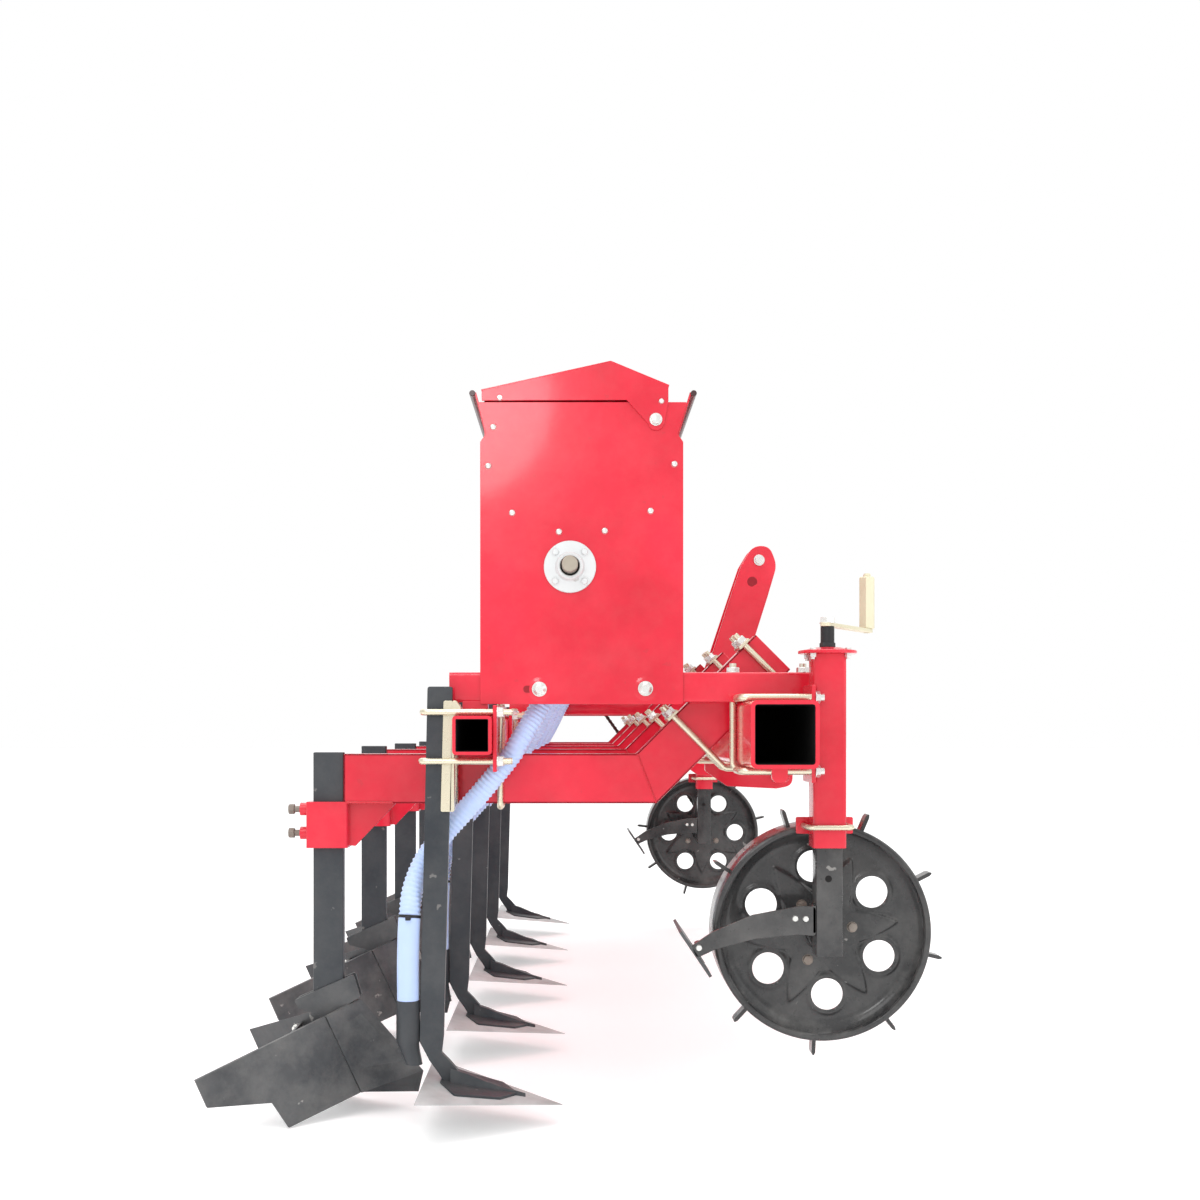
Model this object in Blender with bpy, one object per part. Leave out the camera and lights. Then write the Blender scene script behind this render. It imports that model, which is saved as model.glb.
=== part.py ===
"""Corn planter: a tractor-mounted five-row toolbar with hopper, hoses, openers, ridgers and wheels.

Metres, +X forward (towards the tractor), +Y to the machine's left, +Z up, ground at Z = 0.
"""

import math

import bmesh
import bpy
from mathutils import Matrix, Vector

# ---------------------------------------------------------------- driving dimensions
ROW_COUNT = 5
ROW_SPACING = 0.500
ARM_OFFSET = 0.096            # an arm runs this far to the left of its tine
MACHINE_ORIGIN = Vector((0.0042, -0.0625, 0.0))   # moves the middle of the outline over the origin
GAP = 0.0003                  # clearance between separate pieces that touch

BEAM_SIDE = 0.100
BEAM_WALL = 0.006
BEAM_X = 0.297
BEAM_Z = 0.607
BEAM_RIGHT_END = -1.150
BEAM_LEFT_END = 1.135

BAR_SIDE = 0.060
BAR_WALL = 0.005
BAR_X = -0.165
BAR_RIGHT_END = -1.050
BAR_LEFT_END = 1.140

ARM_DEPTH = 0.080
ARM_WIDTH = 0.040
ARM_TOP_Z = 0.575
ARM_REAR_X = -0.3815
ARM_WALL = 0.004
SHANK_HALF_THICKNESS = 0.008

LEG_Y = {"right": -1.040, "left": 1.020}
LEG_X = 0.378
LEG_SIDE = 0.040
SLEEVE_SIDE = 0.050
SLEEVE_TOP_Z = 0.7297
SLEEVE_BOTTOM_Z = 0.4345
LEG_WALL = 0.004
AXLE_Z = 0.298
AXLE_RADIUS = 0.0125
WHEEL_RADIUS = 0.170
LUG_COUNT = 9
LUG_HEIGHT = 0.028
CRANK_THROW = 0.160

PANEL_Y = 0.9803              # inner face of each hopper end panel
SHEET = 0.003
HOPPER_FLOOR_Z = 0.9225
RAIL_Y = 0.9675
RAIL_WIDTH = 0.025
RAIL_BOTTOM_Z = 0.6573
RAIL_TOP_Z = 0.7045

SHAFT_X = -0.016
SHAFT_Z = 0.8695
SHAFT_RADIUS = 0.0125
HOUSING_SPACING = 0.468
CHAIN_Y = 1.150
CHAIN_HALF = 0.006
DRIVEN_RADIUS = 0.0406        # pitch radius of the feed shaft's sprocket
DRIVER_RADIUS = 0.0305        # pitch radius of the wheel's sprocket

LID_PIVOT = (0.1187, 1.1002)
TINE_THICKNESS = 0.012
HOSE_RADIUS = 0.0175
ROD = 0.005                   # radius of a U-bolt's rod

BEAM_BACK_X = BEAM_X - BEAM_SIDE / 2
BEAM_FRONT_X = BEAM_X + BEAM_SIDE / 2
BEAM_TOP_Z = BEAM_Z + BEAM_SIDE / 2
BEAM_BOTTOM_Z = BEAM_Z - BEAM_SIDE / 2
ARM_BOTTOM_Z = ARM_TOP_Z - ARM_DEPTH
BAR_BACK_X = BAR_X - BAR_SIDE / 2
BAR_FRONT_X = BAR_X + BAR_SIDE / 2
BAR_BOTTOM_Z = ARM_TOP_Z + GAP
BAR_TOP_Z = BAR_BOTTOM_Z + BAR_SIDE

ROWS = range(ROW_COUNT)
TINE_Y = [(row - (ROW_COUNT - 1) / 2) * ROW_SPACING for row in ROWS]
ARM_Y = [y + ARM_OFFSET for y in TINE_Y]
HOUSING_Y = [(row - (ROW_COUNT - 1) / 2) * HOUSING_SPACING for row in ROWS]

# ---------------------------------------------------------------- scene and materials
for old in list(bpy.data.objects):
    bpy.data.objects.remove(old, do_unlink=True)

PARTS = bpy.data.collections.new("corn_planter")
bpy.context.scene.collection.children.link(PARTS)
WORKSHOP = bpy.data.collections.new("workshop")
bpy.context.scene.collection.children.link(WORKSHOP)

MACHINE = bpy.data.objects.new("machine_origin", None)
MACHINE.location = MACHINE_ORIGIN
PARTS.objects.link(MACHINE)


def paint(name, colour, roughness, metallic=0.0):
    """One plain finish of the model."""
    material = bpy.data.materials.new(name)
    material.use_nodes = True
    shader = material.node_tree.nodes["Principled BSDF"]
    shader.inputs["Base Color"].default_value = (*colour, 1.0)
    shader.inputs["Roughness"].default_value = roughness
    shader.inputs["Metallic"].default_value = metallic
    return material


RED = paint("red_enamel", (0.72, 0.02, 0.03), 0.30)
BLACK = paint("black_paint", (0.035, 0.038, 0.045), 0.50)
ZINC = paint("yellow_zinc", (0.70, 0.66, 0.50), 0.35, 0.8)
STEEL = paint("bright_steel", (0.60, 0.60, 0.58), 0.40, 0.9)
HOSE = paint("pale_hose", (0.70, 0.78, 0.95), 0.45)
CHAIN = paint("oiled_chain", (0.05, 0.05, 0.05), 0.45, 0.7)

# ---------------------------------------------------------------- shape helpers


def from_bmesh(mesh_data):
    """Turns a bmesh into a loose workshop object."""
    mesh = bpy.data.meshes.new("piece")
    mesh_data.to_mesh(mesh)
    mesh_data.free()
    piece = bpy.data.objects.new("piece", mesh)
    WORKSHOP.objects.link(piece)
    return piece


def block(low, high):
    """A rectangular block between two corners."""
    low, high = Vector(low), Vector(high)
    shape = bmesh.new()
    size = Matrix.Diagonal((*(high - low), 1.0))
    bmesh.ops.create_cube(shape, size=1.0, matrix=Matrix.Translation((low + high) / 2) @ size)
    return from_bmesh(shape)


def rod(start, end, radius, sides=12, end_radius=None, turn=0.0):
    """A round bar, or a cone, from one point to another; six sides make a nut."""
    start, end = Vector(start), Vector(end)
    along = end - start
    aim = along.to_track_quat("Z", "Y").to_matrix().to_4x4()
    place = Matrix.Translation((start + end) / 2) @ aim @ Matrix.Rotation(turn, 4, "Z")
    shape = bmesh.new()
    far_radius = radius if end_radius is None else end_radius
    bmesh.ops.create_cone(shape, cap_ends=True, segments=sides, radius1=radius,
                          radius2=far_radius, depth=along.length, matrix=place)
    return from_bmesh(shape)


def as_mesh(curve_object):
    """Makes a mesh of a curve object, with its caps welded, and removes the curve."""
    graph = bpy.context.evaluated_depsgraph_get()
    mesh = bpy.data.meshes.new_from_object(curve_object.evaluated_get(graph))
    shape = bmesh.new()
    shape.from_mesh(mesh)
    bmesh.ops.remove_doubles(shape, verts=shape.verts, dist=0.00001)
    bmesh.ops.recalc_face_normals(shape, faces=shape.faces)
    bmesh.ops.triangulate(shape, faces=shape.faces)
    shape.transform(curve_object.matrix_world)
    bpy.data.objects.remove(curve_object, do_unlink=True)
    return from_bmesh(shape)


def bent_rod(points, radius, resolution=2, closed=False):
    """A round rod bent along the given points."""
    curve = bpy.data.curves.new("bent_rod", "CURVE")
    curve.dimensions = "3D"
    curve.bevel_depth = radius
    curve.bevel_resolution = resolution
    curve.use_fill_caps = not closed
    spline = curve.splines.new("POLY")
    spline.points.add(len(points) - 1)
    for point, place in zip(spline.points, points):
        point.co = (*place, 1.0)
    spline.use_cyclic_u = closed
    shape = bpy.data.objects.new("bent_rod", curve)
    WORKSHOP.objects.link(shape)
    bpy.context.view_layer.update()
    return as_mesh(shape)


def side_plate(outline, y_low, y_high):
    """A flat plate in the XZ plane, from its outline of (x, z) points."""
    curve = bpy.data.curves.new("side_plate", "CURVE")
    curve.dimensions = "2D"
    curve.fill_mode = "BOTH"
    curve.extrude = (y_high - y_low) / 2
    spline = curve.splines.new("POLY")
    spline.points.add(len(outline) - 1)
    for point, (x, z) in zip(spline.points, outline):
        point.co = (x, z, 0.0, 1.0)
    spline.use_cyclic_u = True
    shape = bpy.data.objects.new("side_plate", curve)
    middle = Matrix.Translation((0.0, (y_low + y_high) / 2, 0.0))
    shape.matrix_world = middle @ Matrix.Rotation(math.pi / 2, 4, "X")
    WORKSHOP.objects.link(shape)
    bpy.context.view_layer.update()
    return as_mesh(shape)


def hull(points):
    """The convex block that holds all the given points: a wedge, a plate or a point."""
    shape = bmesh.new()
    for point in points:
        shape.verts.new(point)
    made = bmesh.ops.convex_hull(shape, input=shape.verts)
    inside = {item for item in made["geom_interior"] if isinstance(item, bmesh.types.BMVert)}
    bmesh.ops.delete(shape, geom=list(inside), context="VERTS")
    bmesh.ops.dissolve_limit(shape, angle_limit=0.001, verts=shape.verts, edges=shape.edges)
    bmesh.ops.recalc_face_normals(shape, faces=shape.faces)
    return from_bmesh(shape)


def slab(corners, thickness):
    """A flat plate of a given thickness on a polygon of points in space."""
    corners = [Vector(corner) for corner in corners]
    normal = (corners[1] - corners[0]).cross(corners[2] - corners[0]).normalized()
    shape = bmesh.new()
    face = shape.faces.new([shape.verts.new(corner) for corner in corners])
    made = bmesh.ops.extrude_face_region(shape, geom=[face])
    moved = [item for item in made["geom"] if isinstance(item, bmesh.types.BMVert)]
    bmesh.ops.translate(shape, verts=moved, vec=normal * thickness)
    bmesh.ops.recalc_face_normals(shape, faces=shape.faces)
    return from_bmesh(shape)


def turned(profile, centre_y, x, z, steps=36):
    """A ring turned about a Y axis; the profile is a closed loop of (radius, y) points."""
    shape = bmesh.new()
    verts = [shape.verts.new((radius, y, 0.0)) for radius, y in profile]
    edges = [shape.edges.new((verts[i], verts[(i + 1) % len(verts)])) for i in range(len(verts))]
    bmesh.ops.spin(shape, geom=verts + edges, cent=(0, 0, 0), axis=(0, 1, 0),
                   angle=2 * math.pi, steps=steps, use_merge=True)
    bmesh.ops.remove_doubles(shape, verts=shape.verts, dist=0.00001)
    bmesh.ops.recalc_face_normals(shape, faces=shape.faces)
    shape.transform(Matrix.Translation((x, centre_y, z)))
    return from_bmesh(shape)


def hex_nut(centre, direction, radius, height, turn=0.0):
    """A six-sided nut or bolt head that starts at a point and rises along a direction."""
    start = Vector(centre)
    return rod(start, start + Vector(direction).normalized() * height, radius, 6, turn=turn)


def combine(target, others, operation):
    """Joins or cuts all the other pieces in one exact Boolean and removes them."""
    if not others:
        return
    group = bpy.data.collections.new("group")
    WORKSHOP.children.link(group)
    for other in others:
        group.objects.link(other)
    change = target.modifiers.new("combine", "BOOLEAN")
    change.operation = operation
    change.solver = "EXACT"
    change.operand_type = "COLLECTION"
    change.collection = group
    graph = bpy.context.evaluated_depsgraph_get()
    mesh = bpy.data.meshes.new_from_object(target.evaluated_get(graph))
    target.modifiers.clear()
    target.data = mesh
    for other in others:
        bpy.data.objects.remove(other, do_unlink=True)
    bpy.data.collections.remove(group)


def node(name, material, bodies, cuts=(), pivot=(0.0, 0.0, 0.0), smooth=35.0):
    """One finished part: its bodies joined, its openings cut, its origin on its own axis."""
    part, *rest = bodies
    combine(part, rest, "UNION")
    combine(part, cuts, "DIFFERENCE")
    part.name = name
    part.data.name = name
    part.data.transform(Matrix.Translation(-Vector(pivot)))
    part.data.materials.clear()
    part.data.materials.append(material)
    part.data.shade_smooth()
    part.data.set_sharp_from_angle(angle=math.radians(smooth))
    part.parent = MACHINE
    part.location = pivot
    WORKSHOP.objects.unlink(part)
    PARTS.objects.link(part)
    return part


def tube_along_y(x, z, side, wall, y_low, y_high):
    """The outer block and the inner cutter of a square tube that runs across the machine."""
    half, inner = side / 2, side / 2 - wall
    return (block((x - half, y_low, z - half), (x + half, y_high, z + half)),
            block((x - inner, y_low - 0.01, z - inner), (x + inner, y_high + 0.01, z + inner)))


def smooth_path(points, steps=4):
    """Points along a soft curve that passes through all the given points."""
    points = [Vector(point) for point in points]
    ends = [points[0] * 2 - points[1], *points, points[-1] * 2 - points[-2]]
    path = []
    for before, start, end, after in zip(ends, ends[1:], ends[2:], ends[3:]):
        for step in range(steps):
            t = step / steps
            path.append(0.5 * (2 * start + (end - before) * t
                               + (2 * before - 5 * start + 4 * end - after) * t ** 2
                               + (3 * start - before - 3 * end + after) * t ** 3))
    return [*path, points[-1]]


# ---------------------------------------------------------------- front beam and hitch
tube, bore = tube_along_y(BEAM_X, BEAM_Z, BEAM_SIDE, BEAM_WALL, BEAM_RIGHT_END, BEAM_LEFT_END)
beam_bodies = [tube]
beam_cuts = [bore]
beam_bodies.append(block((0.281, -1.124, 0.548), (0.305, -1.116, BEAM_BOTTOM_Z + 0.002)))
beam_bodies.append(rod((0.293, -1.124, 0.548), (0.293, -1.116, 0.548), 0.012, 16))
beam_cuts.append(rod((0.293, -1.13, 0.548), (0.293, -1.11, 0.548), 0.0065, 12))
for side in (-1, 1):
    low, high = sorted((side * 0.335, side * 0.349))
    outline = [(0.255, BEAM_BOTTOM_Z + 0.001), (0.255, 0.530), (0.300, 0.499), (0.400, 0.494),
               (0.424, 0.500), (0.433, 0.520), (0.424, 0.540), (0.395, 0.556),
               (0.347, BEAM_BOTTOM_Z + 0.001)]
    beam_bodies.append(side_plate(outline, low, high))
    beam_bodies.append(rod((0.407, side * 0.34, 0.520), (0.407, side * 0.405, 0.520), 0.011, 16))
node("front_beam", RED, beam_bodies, beam_cuts)

mast_bodies = [block((0.257, -0.062, BEAM_TOP_Z + GAP), (0.345, 0.062, 0.667))]
for side in (-1, 1):
    foot, neck = side * 0.050, side * 0.030
    mast_bodies.append(hull([(x, y, 0.660) for x in (0.259, 0.343) for y in (foot - 0.005, foot + 0.005)]
                            + [(x, y, 0.914) for x in (0.343, 0.427)
                               for y in (neck - 0.005, neck + 0.005)]))
    outline = [(0.341, 0.908), (0.425, 0.908), (0.441, 0.958), (0.444, 0.990), (0.434, 1.016),
               (0.414, 1.028), (0.391, 1.022), (0.374, 1.002)]
    mast_bodies.append(side_plate(outline, neck - 0.005, neck + 0.005))
mast_bodies.append(rod((0.406, -0.045, 0.996), (0.406, 0.045, 0.996), 0.0095, 16))
mast_cuts = [rod((0.386, -0.05, 0.945), (0.386, 0.05, 0.945), 0.010, 16)]
node("hitch_mast", RED, mast_bodies, mast_cuts)

# ---------------------------------------------------------------- rear toolbar
tube, bore = tube_along_y(BAR_X, BAR_BOTTOM_Z + BAR_SIDE / 2, BAR_SIDE, BAR_WALL,
                          BAR_RIGHT_END, BAR_LEFT_END)
bar_bodies = [tube]
bar_cuts = [bore]
for arm_y in ARM_Y:
    reach = ARM_WIDTH / 2 + 0.0005 + ROD
    under = ARM_BOTTOM_Z - GAP - ROD
    bar_bodies.append(block((-0.209, arm_y - reach - 0.009, BAR_TOP_Z - 0.001),
                            (-0.119, arm_y + reach + 0.009, BAR_TOP_Z + 0.006)))
    for x in (-0.2008, -0.1285):
        for side in (-1, 1):
            bar_bodies.append(hex_nut((x, arm_y + side * reach, BAR_TOP_Z + 0.005), (0, 0, 1),
                                      0.0092, 0.009))
        bend = [(x, arm_y + side * y, z) for side, y, z in
                ((-1, reach, BAR_TOP_Z + 0.012), (-1, reach, under + 0.0032), (-1, reach - 0.0032, under),
                 (1, reach - 0.0032, under), (1, reach, under + 0.0032), (1, reach, BAR_TOP_Z + 0.012))]
        bar_bodies.append(bent_rod(bend, ROD, 1))
node("rear_toolbar", RED, bar_bodies, bar_cuts)

# ---------------------------------------------------------------- row units: arms and their clamps
for row, arm_y in zip(ROWS, ARM_Y):
    number = row + 1
    near, far = arm_y - ARM_WIDTH / 2, arm_y + ARM_WIDTH / 2
    outline = [(ARM_REAR_X, ARM_TOP_Z), (ARM_REAR_X, ARM_BOTTOM_Z), (0.1236, ARM_BOTTOM_Z),
               (0.340, 0.7108), (0.2834, 0.7674), (0.091, ARM_TOP_Z)]
    wall = ARM_WALL
    hollow = [(ARM_REAR_X + wall, ARM_TOP_Z - wall), (ARM_REAR_X + wall, ARM_BOTTOM_Z + wall),
              (0.12194, ARM_BOTTOM_Z + wall), (0.34234, 0.71940), (0.29143, 0.77031),
              (0.09266, ARM_TOP_Z - wall)]
    arm_bodies = [side_plate(outline, near, far),
                  block((-0.442, arm_y - 0.022, 0.423), (-0.375, arm_y + 0.022, 0.497))]
    for z in (0.4848, 0.446):
        arm_bodies.append(rod((-0.4545, arm_y, z), (-0.441, arm_y, z), 0.010, 12))
        arm_bodies.append(rod((-0.4645, arm_y, z), (-0.4535, arm_y, z), 0.005, 8))
        arm_bodies.append(hex_nut((-0.4640, arm_y, z), (-1, 0, 0), 0.0085, 0.0095))
    arm_bodies.append(side_plate([(-0.376, 0.426), (-0.365, 0.425), (-0.298, 0.4955), (-0.376, 0.4955)],
                                 arm_y - 0.004, arm_y + 0.004))
    reach = SHANK_HALF_THICKNESS + GAP
    arm_cuts = [side_plate(hollow, near + wall, far - wall),
                block((-0.4331, arm_y - reach, 0.40), (-0.3835, arm_y + reach, 0.60)),
                block((BEAM_BACK_X - GAP, arm_y - 0.03, BEAM_BOTTOM_Z - GAP),
                      (BEAM_FRONT_X + GAP, arm_y + 0.03, BEAM_TOP_Z + GAP))]
    node(f"bent_arm_{number}", RED, arm_bodies, arm_cuts)

    clamp_bodies = []
    low, front = BEAM_BOTTOM_Z - GAP - ROD, BEAM_FRONT_X + GAP + ROD
    out = Vector((-1, 0, 1)).normalized()
    seats = (Vector((0.15075, arm_y, 0.63475)), Vector((0.26550, arm_y, 0.74950)))
    for side in (-1, 1):
        step = Vector((0, side * (ARM_WIDTH / 2 + 0.0005 + ROD), 0))
        corners = [(0.2310, 0.5545), (0.2375, low), (0.3490, low), (front, 0.5550), (front, 0.6580),
                   (0.3500, 0.6650)]
        path = [seats[0] + out * 0.024, *[Vector((x, arm_y, z)) for x, z in corners],
                seats[1] + out * 0.024]
        clamp_bodies.append(bent_rod([point + step for point in path], ROD, 1))
        clamp_bodies += [hex_nut(seat + out * 0.0045 + step, out, 0.0092, 0.010) for seat in seats]
    for seat in seats:
        along = Vector((1, 0, 1)).normalized() * 0.011
        corners = [seat + out * 0.0004 + Vector((0, y, 0)) + along * step
                   for y, step in ((-0.035, -1), (0.035, -1), (0.035, 1), (-0.035, 1))]
        clamp_bodies.append(hull(corners + [corner + out * 0.005 for corner in corners]))
    node(f"arm_clamp_{number}", ZINC, clamp_bodies)

# ---------------------------------------------------------------- row units: tines and sweeps
for row, y in zip(ROWS, TINE_Y):
    number = row + 1
    half = TINE_THICKNESS / 2
    outline = [(-0.2373, 0.681), (-0.2480, 0.194), (-0.2496, 0.129), (-0.2340, 0.0993),
               (-0.2200, 0.0800), (-0.2130, 0.0684), (-0.1785, 0.0624), (-0.1810, 0.0697),
               (-0.1920, 0.0868), (-0.2029, 0.0993), (-0.2153, 0.1118), (-0.2122, 0.1383),
               (-0.2108, 0.194), (-0.1984, 0.681)]
    boot = [rod((-0.268, y, 0.1245), (-0.268, y, 0.193), 0.0185, 16),
            rod((-0.268, y, 0.1246), (-0.258, y, 0.092), 0.0165, 16, end_radius=0.013)]
    bore = rod((-0.268, y, 0.135), (-0.268, y, 0.20), 0.0150, 16)
    node(f"tine_{number}", BLACK, [side_plate(outline, y - half, y + half), *boot], [bore])

    upper, lower = BAR_TOP_Z + GAP + ROD, BAR_BOTTOM_Z - GAP - ROD
    reach, front = half + 0.0088, BAR_FRONT_X + GAP
    clamp_bodies = [block((front, y - 0.0245, 0.5487), (front + 0.006, y + 0.0245, 0.652))]
    for z in (upper + 0.0006, lower - 0.005):
        rear = -0.2392 + (z - 0.60) * 0.022 - GAP - ROD
        bend = [(-0.1212, y - reach, z), (rear + 0.007, y - reach, z), (rear, y - reach + 0.007, z),
                (rear, y + reach - 0.007, z), (rear + 0.007, y + reach, z), (-0.1212, y + reach, z)]
        clamp_bodies.append(bent_rod(bend, ROD, 1))
        for side in (-1, 1):
            clamp_bodies.append(hex_nut((front + 0.0055, y + side * reach, z), (1, 0, 0), 0.0090, 0.010))
    back = BAR_BACK_X - GAP
    saddle = [(back, 0.4865), (back, BAR_TOP_Z + GAP), (-0.185, BAR_TOP_Z + GAP), (-0.185, 0.650),
              (-0.192, 0.659), (-0.212, 0.659), (-0.2165, 0.4865)]
    clamp_bodies.append(side_plate(saddle, y - half - 0.0045, y + half + 0.0045))
    face = [(-0.1980 + (z - 0.681) * 0.02546 + GAP, z) for z in (0.40, 0.70)]
    slot = side_plate([(-0.30, 0.40), face[0], face[1], (-0.30, 0.70)], y - half - GAP, y + half + GAP)
    node(f"tine_clamp_{number}", ZINC, clamp_bodies, [slot])

    share = slab([(-0.243, y - 0.140, 0.066), (-0.027, y, 0.029), (-0.243, y + 0.140, 0.066)], 0.006)
    collar = hull([(-0.176, y - 0.010, 0.0590), (-0.176, y + 0.010, 0.0590), (-0.176, y - 0.006, 0.074),
                   (-0.176, y + 0.006, 0.074), (-0.105, y - 0.006, 0.0450), (-0.105, y + 0.006, 0.0450),
                   (-0.105, y, 0.0530)])
    node(f"sweep_{number}", STEEL, [share, collar])

# ---------------------------------------------------------------- row units: ridgers
for row, y in zip(ROWS, ARM_Y):
    number = row + 1
    lift = Vector((0, 0, 0.0 if row == 0 else 0.025))
    half = SHANK_HALF_THICKNESS

    cheek = [(-0.463, 0.176), (-0.367, 0.218), (-0.356, 0.181), (-0.409, 0.150), (-0.455, 0.162)]
    nose = [(-0.3566, y, 0.176), (-0.2545, y, 0.059), (-0.2626, y, 0.025), (-0.334, y, 0.031)]
    tail = [(x, y + side * 0.045, z) for side in (-1, 1) for x, z in ((-0.405, 0.156), (-0.348, 0.035))]
    shank_top = 0.5773 if row == 0 else 0.5813 - lift.z
    ridger_bodies = [block((-0.4328, y - half, 0.165), (-0.3838, y + half, shank_top)),
                     side_plate(cheek, y - half - 0.005, y + half + 0.005), hull(nose + tail)]
    ridger = node(f"ridger_{number}", BLACK, ridger_bodies)
    ridger.data.transform(Matrix.Translation(lift))

    wing_bodies = [rod((-0.472, y - 0.094, 0.108), (-0.472, y + 0.094, 0.108), 0.006, 10)]
    for side in (-1, 1):
        inward = Vector((-0.0030, -side * 0.0038, 0.0004))
        front = [(-0.4070, 0.0455, 0.156), (-0.3500, 0.0455, 0.035), (-0.448, 0.122, 0.0),
                 (-0.473, 0.125, 0.040)]
        rear = [(-0.4070, 0.0455, 0.156), (-0.473, 0.125, 0.040), (-0.5585, 0.179, 0.047),
                (-0.577, 0.179, 0.088)]
        for corners in (front, rear):
            flat = [Vector((x, y + side * w, z)) for x, w, z in corners]
            wing_bodies.append(hull(flat + [point + inward for point in flat]))
    wings = node(f"ridger_wings_{number}", BLACK, wing_bodies)
    wings.data.transform(Matrix.Translation(lift))

# ---------------------------------------------------------------- seed hoses
for row, tine_y, top_y in zip(ROWS, TINE_Y, HOUSING_Y):
    side_y = tine_y + 0.0445
    path = [(-0.016, top_y, 0.7980), (-0.016, top_y, 0.7900), (-0.016, top_y, 0.7740), (-0.036, top_y, 0.710),
            (-0.068, top_y, 0.645), (-0.098, side_y, 0.592), (-0.115, side_y, 0.566),
            (-0.167, side_y, 0.503), (-0.215, side_y - 0.0040, 0.450), (-0.245, side_y - 0.0105, 0.410),
            (-0.262, tine_y + 0.015, 0.365), (-0.266, tine_y + 0.001, 0.320), (-0.268, tine_y, 0.260),
            (-0.268, tine_y, 0.1935)]
    node(f"seed_hose_{row + 1}", HOSE, [bent_rod(smooth_path(path, 2), HOSE_RADIUS, 1)], smooth=70)

# ---------------------------------------------------------------- hopper
def folded_sheet(path, thickness):
    """The outline of a thin sheet whose outer face follows an open (x, z) path, left to right."""
    inner = []
    for index, (x, z) in enumerate(path):
        steps = [(path[i + 1][0] - path[i][0], path[i + 1][1] - path[i][1])
                 for i in (index - 1, index) if 0 <= i < len(path) - 1]
        normals = [Vector((-dz, dx)).normalized() for dx, dz in steps]
        mean = sum(normals, Vector((0, 0))).normalized()
        reach = thickness / mean.dot(normals[0])
        inner.append((x + mean.x * reach, z + mean.y * reach))
    return [*path, *reversed(inner)]


trough = [(-0.1665, 1.1440), (-0.1506, 1.0830), (-0.1506, 1.0000), (-0.1065, 0.9520),
          (-0.0330, HOPPER_FLOOR_Z), (0.0390, HOPPER_FLOOR_Z), (0.1106, 0.9555), (0.1560, 1.0000),
          (0.1560, 1.0800), (0.1755, 1.1440)]
panel = [(-0.157, 0.654), (0.162, 0.654), (0.162, 1.064), (0.158, 1.071), (0.1525, 1.075),
         (0.1685, 1.1285), (-0.1615, 1.1285), (-0.1475, 1.075), (-0.153, 1.071), (-0.157, 1.064)]
hopper_bodies = [side_plate(folded_sheet(trough, SHEET), -PANEL_Y - 0.001, PANEL_Y + 0.001)]
hopper_cuts = []
for side in (-1, 1):
    low, high = sorted((side * PANEL_Y, side * (PANEL_Y + SHEET)))
    hopper_bodies.append(side_plate(panel, low, high))
    for x, z in ((-0.0640, 0.6775), (0.1025, 0.6785)):
        hopper_bodies.append(rod((x, side * (PANEL_Y + 0.002), z), (x, side * (PANEL_Y + 0.0075), z),
                                 0.011, 10))
    hopper_cuts.append(rod((SHAFT_X, side * 0.97, SHAFT_Z), (SHAFT_X, side * 0.995, SHAFT_Z), 0.0150, 16))
    hopper_cuts.append(rod((LID_PIVOT[0], side * 0.97, LID_PIVOT[1]),
                           (LID_PIVOT[0], side * 0.995, LID_PIVOT[1]), 0.0055, 12))
for x, z, lean in ((-0.1700, 1.1415, -1), (0.1790, 1.1415, 1)):
    hopper_bodies.append(rod((x, -PANEL_Y - 0.001, z), (x, PANEL_Y + 0.001, z), 0.0058, 6))
for y in HOUSING_Y:
    hopper_bodies.append(block((-0.058, y - 0.040, 0.832), (0.026, y + 0.040, HOPPER_FLOOR_Z + 0.001)))
    hopper_bodies.append(rod((SHAFT_X, y, 0.7990), (SHAFT_X, y, 0.833), 0.0190, 12))
    hopper_cuts.append(rod((SHAFT_X, y - 0.031, SHAFT_Z), (SHAFT_X, y + 0.031, SHAFT_Z), 0.0310, 14))
    hopper_cuts.append(rod((SHAFT_X, y - 0.050, SHAFT_Z), (SHAFT_X, y + 0.050, SHAFT_Z), 0.0150, 10))
    hopper_cuts.append(block((-0.033, y - 0.025, SHAFT_Z), (0.001, y + 0.025, 0.93)))
    hopper_cuts.append(rod((SHAFT_X, y, 0.79), (SHAFT_X, y, SHAFT_Z), 0.0140, 10))
node("hopper_body", RED, hopper_bodies, hopper_cuts)

rear, peak, front = (-0.1555, 1.1475), (0.048, 1.1926), (0.1400, 1.1545)
roof = folded_sheet([front, peak, rear], 0.0020)
lid_bodies = [side_plate(roof, -PANEL_Y - 0.0066, PANEL_Y + 0.0066)]
for side in (-1, 1):
    low, high = sorted((side * (PANEL_Y + SHEET + GAP), side * (PANEL_Y + 0.0063)))
    lid_bodies.append(side_plate([(-0.1545, 1.1300), (0.0730, 1.1310), (0.1070, 1.0940), (0.1110, 1.0870),
                                  (0.1187, 1.0842), (0.1270, 1.0865), (0.1318, 1.0940), (0.1385, 1.1300),
                                  (0.1385, 1.1550), (0.048, 1.1920), (-0.1545, 1.1470)], low, high))
    lid_bodies.append(rod((LID_PIVOT[0], side * (PANEL_Y - 0.003), LID_PIVOT[1]),
                          (LID_PIVOT[0], side * (PANEL_Y + 0.005), LID_PIVOT[1]), 0.0050, 12))
    lid_bodies.append(hex_nut((LID_PIVOT[0], side * (PANEL_Y + 0.005), LID_PIVOT[1]), (0, side, 0),
                              0.0090, 0.008))
node("hopper_lid", RED, lid_bodies, pivot=(LID_PIVOT[0], 0.0, LID_PIVOT[1]))

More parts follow.
